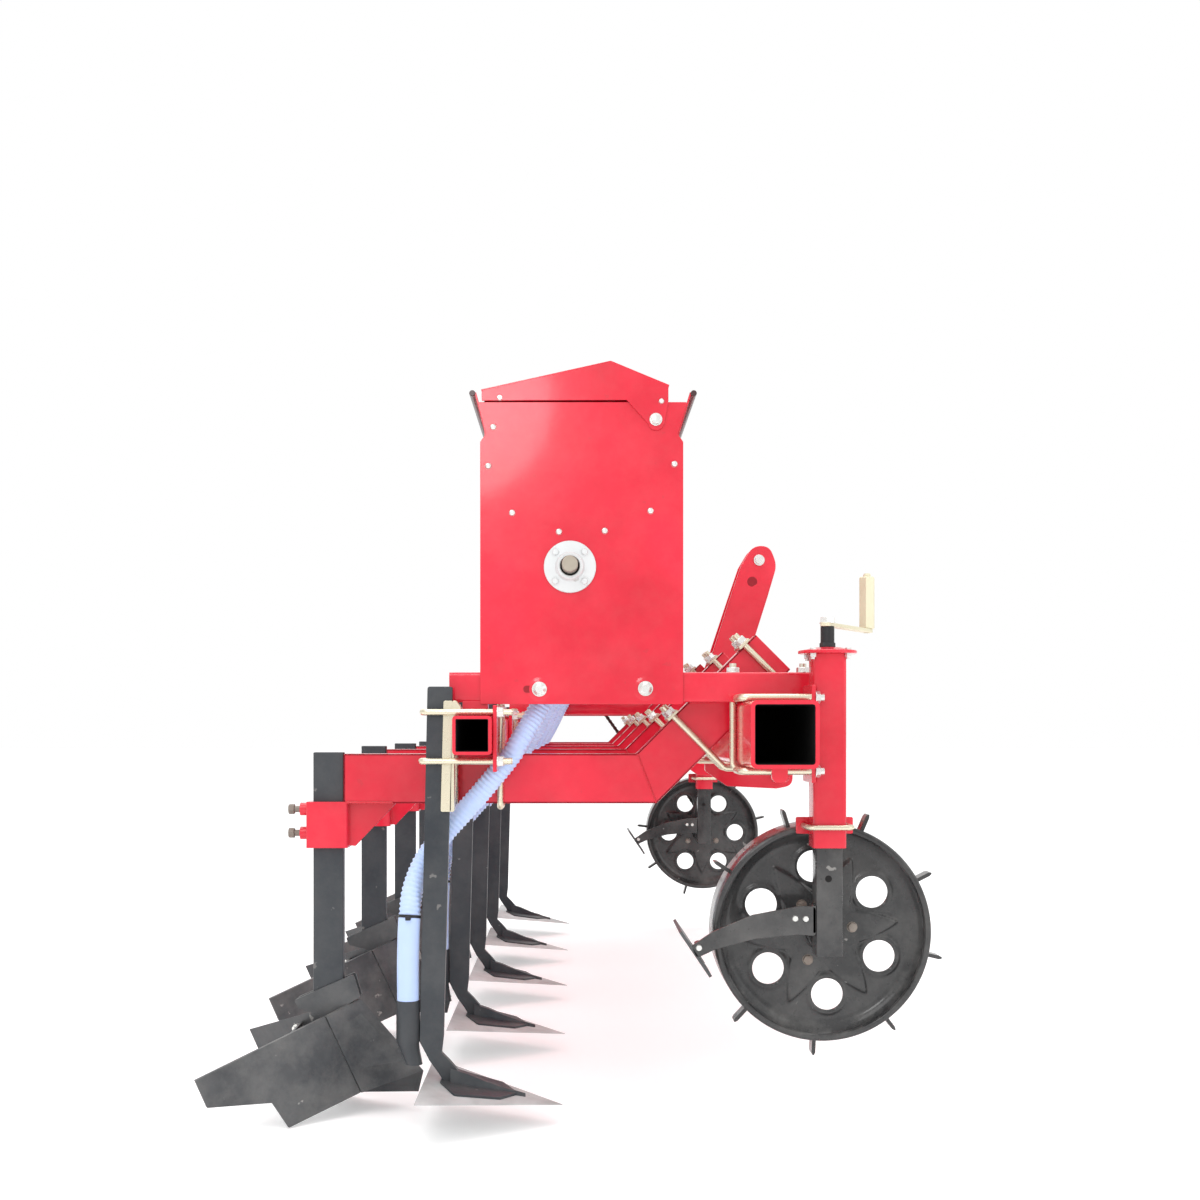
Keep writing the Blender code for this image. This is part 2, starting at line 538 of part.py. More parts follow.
shaft_bodies = [rod((SHAFT_X, -1.030, SHAFT_Z), (SHAFT_X, CHAIN_Y + 0.012, SHAFT_Z), SHAFT_RADIUS, 14)]
for y in HOUSING_Y:
    shaft_bodies.append(rod((SHAFT_X, y - 0.029, SHAFT_Z), (SHAFT_X, y + 0.029, SHAFT_Z), 0.0290, 14))
shaft_bodies.append(rod((SHAFT_X, CHAIN_Y - 0.0025, SHAFT_Z), (SHAFT_X, CHAIN_Y + 0.0025, SHAFT_Z),
                        DRIVEN_RADIUS - CHAIN_HALF - 0.0010, 28))
shaft_bodies.append(rod((SHAFT_X, CHAIN_Y - 0.016, SHAFT_Z), (SHAFT_X, CHAIN_Y + 0.008, SHAFT_Z), 0.0210, 14))
node("feed_shaft", STEEL, shaft_bodies, pivot=(SHAFT_X, 0.0, SHAFT_Z))

near = -PANEL_Y - SHEET - GAP
flange = [rod((SHAFT_X, near - 0.004, SHAFT_Z), (SHAFT_X, near, SHAFT_Z), 0.0410, 24),
          rod((SHAFT_X, near - 0.018, SHAFT_Z), (SHAFT_X, near - 0.003, SHAFT_Z), 0.0215, 18)]
for angle in (45, 135, 225, 315):
    x, z = (0.031 * f(math.radians(angle)) for f in (math.cos, math.sin))
    flange.append(hex_nut((SHAFT_X + x, near - 0.003, SHAFT_Z + z), (0, -1, 0), 0.0060, 0.0055))
node("feed_bearing", STEEL, flange, [rod((SHAFT_X, near - 0.03, SHAFT_Z), (SHAFT_X, near + 0.01, SHAFT_Z),
                                         SHAFT_RADIUS + GAP + 0.0002, 20)])

# ---------------------------------------------------------------- chain from the left wheel
start, end = Vector((SHAFT_X, SHAFT_Z)), Vector((LEG_X, AXLE_Z))
span = end - start
heading = math.atan2(span.y, span.x)
open_angle = math.acos((DRIVEN_RADIUS - DRIVER_RADIUS) / span.length)
loops = []
for offset in (CHAIN_HALF, -CHAIN_HALF):
    loop = []
    for centre, radius, first, last, steps in (
            (end, DRIVER_RADIUS, heading - open_angle, heading + open_angle, 9),
            (start, DRIVEN_RADIUS, heading + open_angle, heading + 2 * math.pi - open_angle, 12)):
        for step in range(steps + 1):
            angle = first + (last - first) * step / steps
            loop.append((centre.x + (radius + offset) * math.cos(angle),
                         centre.y + (radius + offset) * math.sin(angle)))
    loops.append(loop)
band = side_plate(loops[0], CHAIN_Y - CHAIN_HALF, CHAIN_Y + CHAIN_HALF)
node("drive_chain", CHAIN, [band], [side_plate(loops[1], CHAIN_Y - 0.02, CHAIN_Y + 0.02)])

# ---------------------------------------------------------------- hopper rails
for name, side, front in (("right", -1, 0.365), ("left", 1, 0.345)):
    y = side * RAIL_Y
    low, high = y - RAIL_WIDTH / 2 + GAP, y + RAIL_WIDTH / 2 - GAP
    rail_bodies = [block((-0.206, low, RAIL_BOTTOM_Z), (front, high, RAIL_TOP_Z)),
                   block((BAR_X - 0.020, low, BAR_TOP_Z + GAP), (BAR_X + 0.020, high, RAIL_BOTTOM_Z + 0.002))]
    rail_cuts = [block((-0.220, low + 0.004, RAIL_BOTTOM_Z + 0.004),
                       (front + 0.02, high - 0.004, RAIL_TOP_Z - 0.004))]
    if side < 0:
        back, ahead, under = BEAM_BACK_X - GAP - ROD, BEAM_FRONT_X + GAP + ROD, BEAM_BOTTOM_Z - GAP - ROD
        bend = [(back, 0.718), (back, under + 0.0032), (back + 0.0032, under), (ahead - 0.0032, under),
                (ahead, under + 0.0032), (ahead, 0.718)]
        rail_bodies.append(bent_rod([(x, y, z) for x, z in bend], ROD, 1))
        for x in (back, ahead):
            rail_bodies.append(hex_nut((x, y, RAIL_TOP_Z - 0.001), (0, 0, 1), 0.0120, 0.010))
    else:
        for x in (BEAM_X - 0.030, BEAM_X + 0.030):
            rail_bodies.append(hex_nut((x, y, RAIL_TOP_Z - 0.001), (0, 0, 1), 0.0095, 0.009))
    node(f"hopper_rail_{name}", RED, rail_bodies, rail_cuts)

# ---------------------------------------------------------------- ground wheel legs
for name, y in LEG_Y.items():
    half = SLEEVE_SIDE / 2
    plate_front = BEAM_FRONT_X + GAP + 0.006
    sleeve_bodies = [block((LEG_X - half, y - half, SLEEVE_BOTTOM_Z), (LEG_X + half, y + half, SLEEVE_TOP_Z)),
                     block((BEAM_FRONT_X + GAP, y - 0.041, 0.534), (plate_front, y + 0.041, 0.682)),
                     rod((LEG_X, y, SLEEVE_TOP_Z - 0.001), (LEG_X, y, SLEEVE_TOP_Z + 0.005), 0.0445, 20),
                     rod((LEG_X, y, SLEEVE_TOP_Z + 0.004), (LEG_X, y, SLEEVE_TOP_Z + 0.010), 0.022, 12,
                         end_radius=0.014),
                     block((LEG_X - 0.044, y + half - 0.001, 0.453), (LEG_X + 0.044, y + 0.0305, 0.479))]
    for step in (-1, 1):
        rod_y, back = y + step * 0.034, BEAM_BACK_X - GAP - ROD
        for z in (0.6625, 0.5515):
            sleeve_bodies.append(hex_nut((plate_front - 0.001, rod_y, z), (1, 0, 0), 0.0088, 0.009))
        bend = [(0.3605, 0.6625), (back + 0.0032, 0.6625), (back, 0.6593), (back, 0.5547),
                (back + 0.0032, 0.5515), (0.3605, 0.5515)]
        sleeve_bodies.append(bent_rod([(x, rod_y, z) for x, z in bend], ROD, 1))
    grip_y, end_y, reach = y - half - ROD + 0.001, y + 0.0360, 0.0335
    for step in (-1, 1):
        sleeve_bodies.append(hex_nut((LEG_X + step * reach, y + 0.0295, 0.466), (0, 1, 0), 0.0088, 0.007))
    lock = [(LEG_X - reach, end_y), (LEG_X - reach, grip_y + 0.0032), (LEG_X - reach + 0.0032, grip_y),
            (LEG_X + reach - 0.0032, grip_y), (LEG_X + reach, grip_y + 0.0032), (LEG_X + reach, end_y)]
    sleeve_bodies.append(bent_rod([(x, across, 0.466) for x, across in lock], ROD, 1))
    inner = LEG_SIDE / 2 + GAP
    sleeve_cuts = [block((LEG_X - inner, y - inner, 0.40), (LEG_X + inner, y + inner, SLEEVE_TOP_Z - 0.002)),
                   rod((LEG_X, y, 0.70), (LEG_X, y, 0.76), 0.0082, 16)]
    node(f"leg_sleeve_{name}", RED, sleeve_bodies, sleeve_cuts)

    half, hub = LEG_SIDE / 2, y + (0.106 if name == "right" else 0.140)
    rear = LEG_X - half
    leg_bodies = [block((rear, y - half, 0.270), (LEG_X + half, y + half, 0.690)),
                  rod((LEG_X, y + half - 0.001, AXLE_Z), (LEG_X, hub, AXLE_Z), AXLE_RADIUS, 20),
                  rod((LEG_X, y + half - 0.001, AXLE_Z), (LEG_X, y + half + 0.0050, AXLE_Z), 0.018, 20)]
    leg_cuts = [block((LEG_X - half + LEG_WALL, y - half + LEG_WALL, 0.26),
                      (LEG_X + half - LEG_WALL, y + half - LEG_WALL, 0.70)),
                rod((LEG_X - 0.002, y - half - 0.01, 0.388), (LEG_X - 0.002, y - half + 0.01, 0.388),
                    0.005, 12)]
    node(f"wheel_leg_{name}", BLACK, leg_bodies, leg_cuts, pivot=(LEG_X, y, AXLE_Z))

    low, high = y - half + 0.002, y - half + 0.008
    arm = [(rear - GAP, 0.301), (rear - GAP, 0.346), (0.330, 0.346), (0.262, 0.333), (0.200, 0.307),
           (0.168, 0.285), (0.176, 0.267), (0.206, 0.281), (0.266, 0.297), (0.330, 0.303)]
    tread_high = y + 0.121
    blade = hull([(x, across, z) for x, z in ((0.150, 0.305), (0.154, 0.309), (0.196, 0.237), (0.200, 0.241))
                  for across in (low, tread_high)])
    foot = block((rear - 0.006, low, 0.305), (rear - GAP, y + half - 0.004, 0.347))
    slot = rod((LEG_X, y + 0.060, AXLE_Z), (LEG_X, y + 0.099, AXLE_Z), 0.2030, 48)
    node(f"wheel_scraper_{name}", BLACK, [side_plate(arm, low, high), blade, foot], [slot])

    disc = y + 0.068
    wheel_profile = [(WHEEL_RADIUS, -0.027), (WHEEL_RADIUS, 0.052), (WHEEL_RADIUS - 0.0035, 0.052),
                     (WHEEL_RADIUS - 0.0035, 0.0035), (0.026, 0.0035), (0.026, 0.033),
                     (AXLE_RADIUS + GAP, 0.033), (AXLE_RADIUS + GAP, -0.040), (0.026, -0.040),
                     (0.026, 0.0), (WHEEL_RADIUS - 0.0035, 0.0), (WHEEL_RADIUS - 0.0035, -0.027)]
    wheel_bodies = [turned(wheel_profile, disc, LEG_X, AXLE_Z, 28)]
    hole_phase, lug_phase = (36.3, 27.0) if name == "right" else (0.0, 14.0)
    for index in range(LUG_COUNT):
        angle = math.radians(lug_phase + 360 * index / LUG_COUNT)
        lug = block((WHEEL_RADIUS - 0.002, y + 0.066, -0.003),
                    (WHEEL_RADIUS + LUG_HEIGHT, y + 0.093, 0.003))
        lug.data.transform(Matrix.Translation((LEG_X, 0, AXLE_Z)) @ Matrix.Rotation(-angle, 4, "Y"))
        wheel_bodies.append(lug)
    wheel_cuts = []
    for index in range(6):
        angle = math.radians(hole_phase + 60 * index)
        x, z = LEG_X + 0.1015 * math.cos(angle), AXLE_Z + 0.1015 * math.sin(angle)
        wheel_cuts.append(rod((x, disc - 0.02, z), (x, disc + 0.02, z), 0.025, 12))
    if name == "left":
        collar = [(DRIVER_RADIUS - CHAIN_HALF - 0.0010, CHAIN_Y - 0.0025 - disc),
                  (DRIVER_RADIUS - CHAIN_HALF - 0.0010, CHAIN_Y + 0.0025 - disc),
                  (0.0200, CHAIN_Y + 0.0025 - disc), (0.0200, CHAIN_Y + 0.007 - disc),
                  (AXLE_RADIUS + GAP, CHAIN_Y + 0.007 - disc), (AXLE_RADIUS + GAP, 0.030),
                  (0.0200, 0.030), (0.0200, CHAIN_Y - 0.0025 - disc)]
        wheel_bodies.append(turned(collar, disc, LEG_X, AXLE_Z, 16))
    node(f"ground_wheel_{name}", BLACK, wheel_bodies, wheel_cuts, pivot=(LEG_X, disc, AXLE_Z))

    top = SLEEVE_TOP_Z + 0.010 + GAP
    towards = Vector((0.55, 0.83, 0.0)).normalized()
    centre = Vector((LEG_X, y, 0.0))
    grip = centre + towards * CRANK_THROW
    across = Vector((-towards.y, towards.x, 0.0)) * 0.008
    lever = hull([point + Vector((0, 0, z)) for z in (0.7715, 0.7775)
                  for point in (centre - towards * 0.014 - across, centre - towards * 0.014 + across,
                                grip + towards * 0.010 - across, grip + towards * 0.010 + across)])
    crank_bodies = [rod(centre + Vector((0, 0, 0.600)), centre + Vector((0, 0, 0.7845)), 0.0075, 16),
                    hex_nut(centre + Vector((0, 0, top)), (0, 0, 1), 0.0130, 0.0155),
                    rod(centre + Vector((0, 0, 0.7550)), centre + Vector((0, 0, 0.7720)), 0.0110, 16),
                    hex_nut(centre + Vector((0, 0, 0.7770)), (0, 0, 1), 0.0120, 0.009), lever,
                    rod(grip + Vector((0, 0, 0.7705)), grip + Vector((0, 0, 0.8680)), 0.005, 10),
                    rod(grip + Vector((0, 0, 0.7770)), grip + Vector((0, 0, 0.8620)), 0.0135, 6)]
    node(f"depth_crank_{name}", ZINC, crank_bodies, pivot=(LEG_X, y, 0.755))

bpy.data.collections.remove(WORKSHOP)
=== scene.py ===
"""A tractor-mounted corn planter: beam and toolbar frame, five row units, seed hopper and ground wheels."""

import math

import bmesh
import bpy
from mathutils import Matrix, Vector


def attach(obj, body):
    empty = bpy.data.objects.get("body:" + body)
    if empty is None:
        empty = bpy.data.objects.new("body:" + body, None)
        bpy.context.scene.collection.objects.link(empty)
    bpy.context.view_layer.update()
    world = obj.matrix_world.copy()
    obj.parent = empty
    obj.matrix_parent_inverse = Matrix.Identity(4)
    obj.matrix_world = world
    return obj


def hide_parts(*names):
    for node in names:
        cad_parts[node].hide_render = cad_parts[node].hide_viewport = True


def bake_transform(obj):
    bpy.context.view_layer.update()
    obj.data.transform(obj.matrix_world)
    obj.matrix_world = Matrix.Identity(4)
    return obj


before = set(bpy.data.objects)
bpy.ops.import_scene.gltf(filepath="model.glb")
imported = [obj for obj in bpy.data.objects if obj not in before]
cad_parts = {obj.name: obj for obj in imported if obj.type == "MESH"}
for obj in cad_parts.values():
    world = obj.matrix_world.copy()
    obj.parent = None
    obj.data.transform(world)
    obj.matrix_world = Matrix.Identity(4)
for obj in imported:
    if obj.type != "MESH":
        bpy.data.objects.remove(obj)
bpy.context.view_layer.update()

# ------------------------------------------------------------------ camera, light and floor
# A pale seamless floor under soft light, with a level camera at beam height on the machine's right.
# The machine's own middle lies a little off the origin, so every place below counts from there.
machine = Vector((0.0042, -0.0625, 0.0))
camera_data = bpy.data.cameras.new("camera")
camera_data.lens = 41.4
camera_data.sensor_width = 36.0
camera_data.shift_x = 0.0192
camera_data.shift_y = 0.1075
camera_data.clip_end = 60.0
camera = bpy.data.objects.new("camera", camera_data)
camera.location = machine + Vector((-0.005, -3.15, 0.615))
camera.rotation_euler = (math.radians(90), 0.0, 0.0)
bpy.context.scene.collection.objects.link(camera)
bpy.context.scene.camera = camera
bpy.context.scene.view_settings.view_transform = "Standard"

sky = bpy.data.worlds.new("studio")
sky.use_nodes = True
sky.node_tree.nodes["Background"].inputs["Color"].default_value = (1.0, 1.0, 1.0, 1.0)
sky.node_tree.nodes["Background"].inputs["Strength"].default_value = 1.0
bpy.context.scene.world = sky

for name, place, aim, size, power in (
        ("key", (-1.6, -3.6, 3.4), (0.0, 0.0, 0.6), 2.2, 28.0),
        ("fill", (2.8, -2.6, 1.8), (0.2, 0.0, 0.5), 2.5, 14.0),
        ("sheen", (-0.5, -4.5, 1.95), (0.0, -0.98, 0.9), 0.8, 12.0),
        ("top", (0.0, 0.0, 5.5), (0.0, 0.0, 0.0), 5.0, 155.0),
        ("back", (-1.5, 3.5, 3.5), (0.0, 0.0, 0.5), 3.0, 22.0)):
    lamp_data = bpy.data.lights.new(name, "AREA")
    lamp_data.shape = "DISK"
    lamp_data.size = size
    lamp_data.energy = power
    lamp = bpy.data.objects.new(name, lamp_data)
    lamp.location = place
    lamp.rotation_euler = (Vector(aim) - Vector(place)).to_track_quat("-Z", "Y").to_euler()
    bpy.context.scene.collection.objects.link(lamp)

floor_mesh = bpy.data.meshes.new("floor")
floor_mesh.from_pydata([(-40, -40, -0.0005), (40, -40, -0.0005), (40, 40, -0.0005), (-40, 40, -0.0005)], [],
                       [(0, 1, 2, 3)])
floor = bpy.data.objects.new("floor", floor_mesh)
bpy.context.scene.collection.objects.link(floor)
floor_paint = bpy.data.materials.new("floor_paint")
floor_paint.use_nodes = True
floor_shader = floor_paint.node_tree.nodes["Principled BSDF"]
floor_shader.inputs["Base Color"].default_value = (0.98, 0.98, 0.98, 1.0)
floor_shader.inputs["Roughness"].default_value = 0.9
floor_shader.inputs["Emission Color"].default_value = (1.0, 1.0, 1.0, 1.0)
floor_shader.inputs["Emission Strength"].default_value = 0.12
floor_mesh.materials.append(floor_paint)


# ------------------------------------------------------------------ front beam
# The 100 mm square tube that carries the whole machine across the tractor, sawn square at both ends.
# Rolled steel under bright red enamel, with the lower hitch plates and their pins welded underneath.
def surface_group(name, numbers, colours, outputs):
    """An empty shader node group with its named inputs and outputs."""
    group = bpy.data.node_groups.new(name, "ShaderNodeTree")
    for label, value in colours:
        entry = group.interface.new_socket(name=label, in_out="INPUT", socket_type="NodeSocketColor")
        entry.default_value = (*value, 1.0)
    for label, value in numbers:
        entry = group.interface.new_socket(name=label, in_out="INPUT", socket_type="NodeSocketFloat")
        entry.default_value = value
    for label, kind in outputs:
        group.interface.new_socket(name=label, in_out="OUTPUT", socket_type=kind)
    return group, group.nodes.new("NodeGroupInput"), group.nodes.new("NodeGroupOutput")


def noise(tree, where, scale, detail=4.0, roughness=0.6):
    """A noise texture on the piece's own coordinates."""
    node = tree.nodes.new("ShaderNodeTexNoise")
    node.inputs["Scale"].default_value = scale
    node.inputs["Detail"].default_value = detail
    node.inputs["Roughness"].default_value = roughness
    tree.links.new(where, node.inputs["Vector"])
    return node.outputs["Fac"]


def span(tree, value, low, high, out_low=0.0, out_high=1.0):
    """Maps one range of a value onto another."""
    node = tree.nodes.new("ShaderNodeMapRange")
    for label, number in (("From Min", low), ("From Max", high), ("To Min", out_low), ("To Max", out_high)):
        node.inputs[label].default_value = number
    tree.links.new(value, node.inputs["Value"])
    return node.outputs["Result"]


def times(tree, first, second, operation="MULTIPLY"):
    """One sum or product of two values, of which the second may be a plain number."""
    node = tree.nodes.new("ShaderNodeMath")
    node.operation = operation
    tree.links.new(first, node.inputs[0])
    if isinstance(second, (int, float)):
        node.inputs[1].default_value = second
    else:
        tree.links.new(second, node.inputs[1])
    return node.outputs[0]


def mixed(tree, amount, first, second):
    """Mixes two colours by a mask; a colour may be a socket or plain numbers."""
    node = tree.nodes.new("ShaderNodeMix")
    node.data_type = "RGBA"
    for value, socket in ((amount, node.inputs["Factor"]), (first, node.inputs["A"]),
                          (second, node.inputs["B"])):
        if isinstance(value, bpy.types.NodeSocket):
            tree.links.new(value, socket)
        elif isinstance(value, tuple):
            socket.default_value = (*value, 1.0)
        else:
            socket.default_value = value
    return node.outputs["Result"]


# Weathered coat: blotchy tone, dust that settles on upward faces, small chips and fine grain.
coat_group, coat_in, coat_out = surface_group(
    "weathered_coat",
    (("Grain Scale", 90.0), ("Dust Amount", 0.3), ("Chip Amount", 0.2), ("Smooth", 0.25), ("Rough", 0.5)),
    (("Coat", (0.8, 0.02, 0.03)), ("Deep Coat", (0.5, 0.01, 0.02)), ("Dust", (0.5, 0.45, 0.4)),
     ("Under Coat", (0.12, 0.1, 0.09))),
    (("Color", "NodeSocketColor"), ("Roughness", "NodeSocketFloat"), ("Height", "NodeSocketFloat"),
     ("Chips", "NodeSocketFloat")))
where = coat_group.nodes.new("ShaderNodeTexCoord").outputs["Object"]
facing = coat_group.nodes.new("ShaderNodeSeparateXYZ")
coat_group.links.new(coat_group.nodes.new("ShaderNodeNewGeometry").outputs["Normal"], facing.inputs[0])
blotch = span(coat_group, noise(coat_group, where, 5.0, 5.0), 0.35, 0.7)
grain = coat_group.nodes.new("ShaderNodeTexNoise")
grain.inputs["Detail"].default_value = 6.0
coat_group.links.new(where, grain.inputs["Vector"])
coat_group.links.new(coat_in.outputs["Grain Scale"], grain.inputs["Scale"])
settled = times(coat_group, span(coat_group, facing.outputs["Z"], -0.2, 1.0, 0.15, 1.0),
                span(coat_group, noise(coat_group, where, 14.0, 8.0, 0.7), 0.42, 0.72))
settled = times(coat_group, settled, coat_in.outputs["Dust Amount"])
chips = span(coat_group, noise(coat_group, where, 48.0, 3.0, 0.5), 0.7, 0.73)
chips = times(coat_group, chips, coat_in.outputs["Chip Amount"])
tone = mixed(coat_group, blotch, coat_in.outputs["Coat"], coat_in.outputs["Deep Coat"])
tone = mixed(coat_group, settled, tone, coat_in.outputs["Dust"])
tone = mixed(coat_group, chips, tone, coat_in.outputs["Under Coat"])
coat_group.links.new(tone, coat_out.inputs["Color"])
even = coat_group.nodes.new("ShaderNodeMapRange")
uneven = times(coat_group, times(coat_group, grain.outputs["Fac"], 0.5),
               times(coat_group, settled, 0.9), "ADD")
coat_group.links.new(uneven, even.inputs["Value"])
coat_group.links.new(coat_in.outputs["Smooth"], even.inputs["To Min"])
coat_group.links.new(coat_in.outputs["Rough"], even.inputs["To Max"])
coat_group.links.new(even.outputs["Result"], coat_out.inputs["Roughness"])
coat_group.links.new(times(coat_group, grain.outputs["Fac"], times(coat_group, chips, -0.6), "ADD"),
                     coat_out.inputs["Height"])
coat_group.links.new(chips, coat_out.inputs["Chips"])


def weathered(name, coat, deep, dust, under, grain_scale, dust_amount, chip_amount, smooth, rough,
              bump, metal=0.0, gloss=0.0):
    """A painted or plated finish built on the weathered coat group."""
    material = bpy.data.materials.new(name)
    material.use_nodes = True
    tree = material.node_tree
    shader = tree.nodes["Principled BSDF"]
    shader.inputs["Metallic"].default_value = metal
    shader.inputs["Coat Weight"].default_value = gloss
    shader.inputs["Coat Roughness"].default_value = 0.07
    shader.inputs["Specular IOR Level"].default_value = 0.3
    group = tree.nodes.new("ShaderNodeGroup")
    group.node_tree = coat_group
    for label, value in (("Coat", coat), ("Deep Coat", deep), ("Dust", dust), ("Under Coat", under)):
        group.inputs[label].default_value = (*value, 1.0)
    for label, value in (("Grain Scale", grain_scale), ("Dust Amount", dust_amount),
                         ("Chip Amount", chip_amount), ("Smooth", smooth), ("Rough", rough)):
        group.inputs[label].default_value = value
    relief = tree.nodes.new("ShaderNodeBump")
    relief.inputs["Strength"].default_value = bump
    relief.inputs["Distance"].default_value = 0.001
    tree.links.new(group.outputs["Color"], shader.inputs["Base Color"])
    tree.links.new(group.outputs["Roughness"], shader.inputs["Roughness"])
    tree.links.new(group.outputs["Height"], relief.inputs["Height"])
    tree.links.new(relief.outputs["Normal"], shader.inputs["Normal"])
    return material


red_enamel = weathered("red_enamel", (0.76, 0.017, 0.046), (0.56, 0.009, 0.026), (0.66, 0.36, 0.34),
                       (0.18, 0.05, 0.045), 70.0, 0.16, 0.12, 0.14, 0.36, 0.12, gloss=0.4)
X, Y, Z = Vector((1, 0, 0)), Vector((0, 1, 0)), Vector((0, 0, 1))


def block(shape, low, high):
    """A rectangular block between two corners."""
    low, high = Vector(low), Vector(high)
    place = Matrix.Translation((low + high) / 2) @ Matrix.Diagonal((*(high - low), 1.0))
    bmesh.ops.create_cube(shape, size=1.0, matrix=place)


def loft(shape, rings, closed=False):
    """Skins a run of equal rings of points, with end faces unless the run closes on itself."""
    loops = [[shape.verts.new(point) for point in ring] for ring in rings]
    pairs = list(zip(loops, loops[1:])) + ([(loops[-1], loops[0])] if closed else [])
    faces = []
    for first, second in pairs:
        count = len(first)
        for i in range(count):
            faces.append(shape.faces.new((first[i], first[(i + 1) % count], second[(i + 1) % count],
                                          second[i])))
    if not closed:
        faces.append(shape.faces.new(loops[0]))
        faces.append(shape.faces.new(loops[-1]))
    bmesh.ops.recalc_face_normals(shape, faces=faces)


def circle(centre, radius, sides, first=X, second=Y, phase=0.0):
    """Points round a circle, from the first axis towards the second."""
    angles = (2 * math.pi * i / sides + phase for i in range(sides))
    return [centre + (first * math.cos(a) + second * math.sin(a)) * radius for a in angles]


def rod(shape, start, end, radius, sides=28, end_radius=None):
    """A round bar or a cone from one point to another."""
    start, end = Vector(start), Vector(end)
    turn = (end - start).to_track_quat("Z", "Y")
    ends = ((start, radius), (end, radius if end_radius is None else end_radius))
    loft(shape, [circle(centre, size, sides, turn @ X, turn @ Y) for centre, size in ends])


def pin(shape, place, y_start, y_end, radius, sides=28, end_radius=None):
    """A round bar or a cone that runs straight across the machine at one (x, z) place."""
    x, z = place
    rod(shape, (x, y_start, z), (x, y_end, z), radius, sides, end_radius)


def lathe(shape, centre, profile, sides, axis=Z, closed=True, phase=0.0):
    """A turned shape about an upright or a crosswise axis, from (radius, height) pairs."""
    loft(shape, [circle(centre + axis * level, radius, sides, X, Y if axis.z else Z, phase)
                 for radius, level in profile], closed)


def plate(shape, outline, y_low, y_high):
    """A flat plate in the machine's side plane, from its outline of (x, z) points."""
    loft(shape, [[(x, y, z) for x, z in outline] for y in sorted((y_low, y_high))])


def eased_corner(before, corner, after, radius, steps):
    """The points of a soft arc in place of one corner."""
    to_last, to_next = before - corner, after - corner
    reach = min(radius / math.tan(to_last.angle(to_next) / 2), to_last.length * 0.49, to_next.length * 0.49)
    first, last = corner + to_last.normalized() * reach, corner + to_next.normalized() * reach
    return [first * (1 - t) ** 2 + corner * 2 * t * (1 - t) + last * t ** 2
            for t in (i / steps for i in range(steps + 1))]


def soft_line(path, radius, steps=6):
    """An open path with its corners turned to arcs."""
    path = [Vector(point) for point in path]
    corners = [eased_corner(*run, radius, steps) for run in zip(path, path[1:], path[2:])]
    return [path[0], *(point for corner in corners for point in corner), path[-1]]


def rounded(outline, radius, steps=5):
    """The same outline with each corner turned to an arc; a corner may give its own radius."""
    soft = []
    for i, (x, z, *own) in enumerate(outline):
        before, corner = Vector(outline[i - 1][:2]), Vector((x, z))
        after, size = Vector(outline[(i + 1) % len(outline)][:2]), own[0] if own else radius
        if size <= 0 or (before - corner).angle(after - corner) > 3.1:
            soft.append((x, z))
        else:
            soft += [tuple(point) for point in eased_corner(before, corner, after, size, steps)]
    return soft


def rectangle(left, low, right, high, radius, steps):
    """The outline of a rectangle with round corners."""
    return rounded([(left, low), (right, low), (right, high), (left, high)], radius, steps)


def hollow_bar(shape, outer, inner, low, high, place=lambda z, x, y: (x, y, z)):
    """A bar open at both ends, upright unless place says how a level and an outline point make a point."""
    loft(shape, [[place(level, *point) for point in ring]
                 for level, ring in ((low, outer), (high, outer), (high, inner), (low, inner))], closed=True)


def square_tube(shape, section, wall, start, end, corner=0.01):
    """An open square tube; section gives its centre, half sides and the axes along them."""
    centre, half, across, up = section
    outer, inner = (rectangle(-size, -size, size, size, radius, 6) for size, radius in
                    ((half, corner), (half - wall, max(corner - wall, 0.002))))
    hollow_bar(shape, outer, inner, start, end, lambda along, a, b: centre + across * a + up * b + along)


def finished(name, shape, material, node="", body="frame", edge=0.0, crease=32.0):
    """Turns a shape into one piece with eased edges, riding on its body if it names one."""
    shape.transform(Matrix.Translation(machine))
    mesh = bpy.data.meshes.new(name)
    shape.to_mesh(mesh)
    shape.free()
    mesh.materials.append(material)
    mesh.shade_smooth()
    mesh.set_sharp_from_angle(angle=math.radians(crease))
    piece = bpy.data.objects.new(name, mesh)
    bpy.context.scene.collection.objects.link(piece)
    if edge:
        ease = piece.modifiers.new("eased_edges", "BEVEL")
        ease.width = edge
        ease.segments = 2
        ease.limit_method = "ANGLE"
        ease.angle_limit = math.radians(crease)
        ease.harden_normals = True
    if body:
        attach(piece, body)
    if node:
        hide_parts(node)
    return piece


beam_x, beam_z, beam_half = 0.297, 0.607, 0.05
shape = bmesh.new()
square_tube(shape, (Vector((beam_x, 0, beam_z)), beam_half, X, Z), 0.006, Y * -1.15, Y * 1.135, 0.011)
finished("front_beam_tube", shape, red_enamel, "front_beam", crease=50)
# A near-black lining just inside the tube bores, painted shade for the shade deep in the open tubes; the same
# black paints the shade in the leg holes and in the bearing's groove.
painted_shade_black = weathered("painted_shade_black", (0.004, 0.004, 0.0045), (0.007, 0.006, 0.006), (0.016, 0.013, 0.011),
                       (0.03, 0.016, 0.01), 120.0, 0.3, 0.4, 0.65, 0.95, 0.3)
shape = bmesh.new()
square_tube(shape, (Vector((beam_x, 0, beam_z)), 0.0439, X, Z), 0.0008, Y * -1.1475, Y * 1.1325, 0.005)
finished("front_beam_bore", shape, painted_shade_black, crease=50)

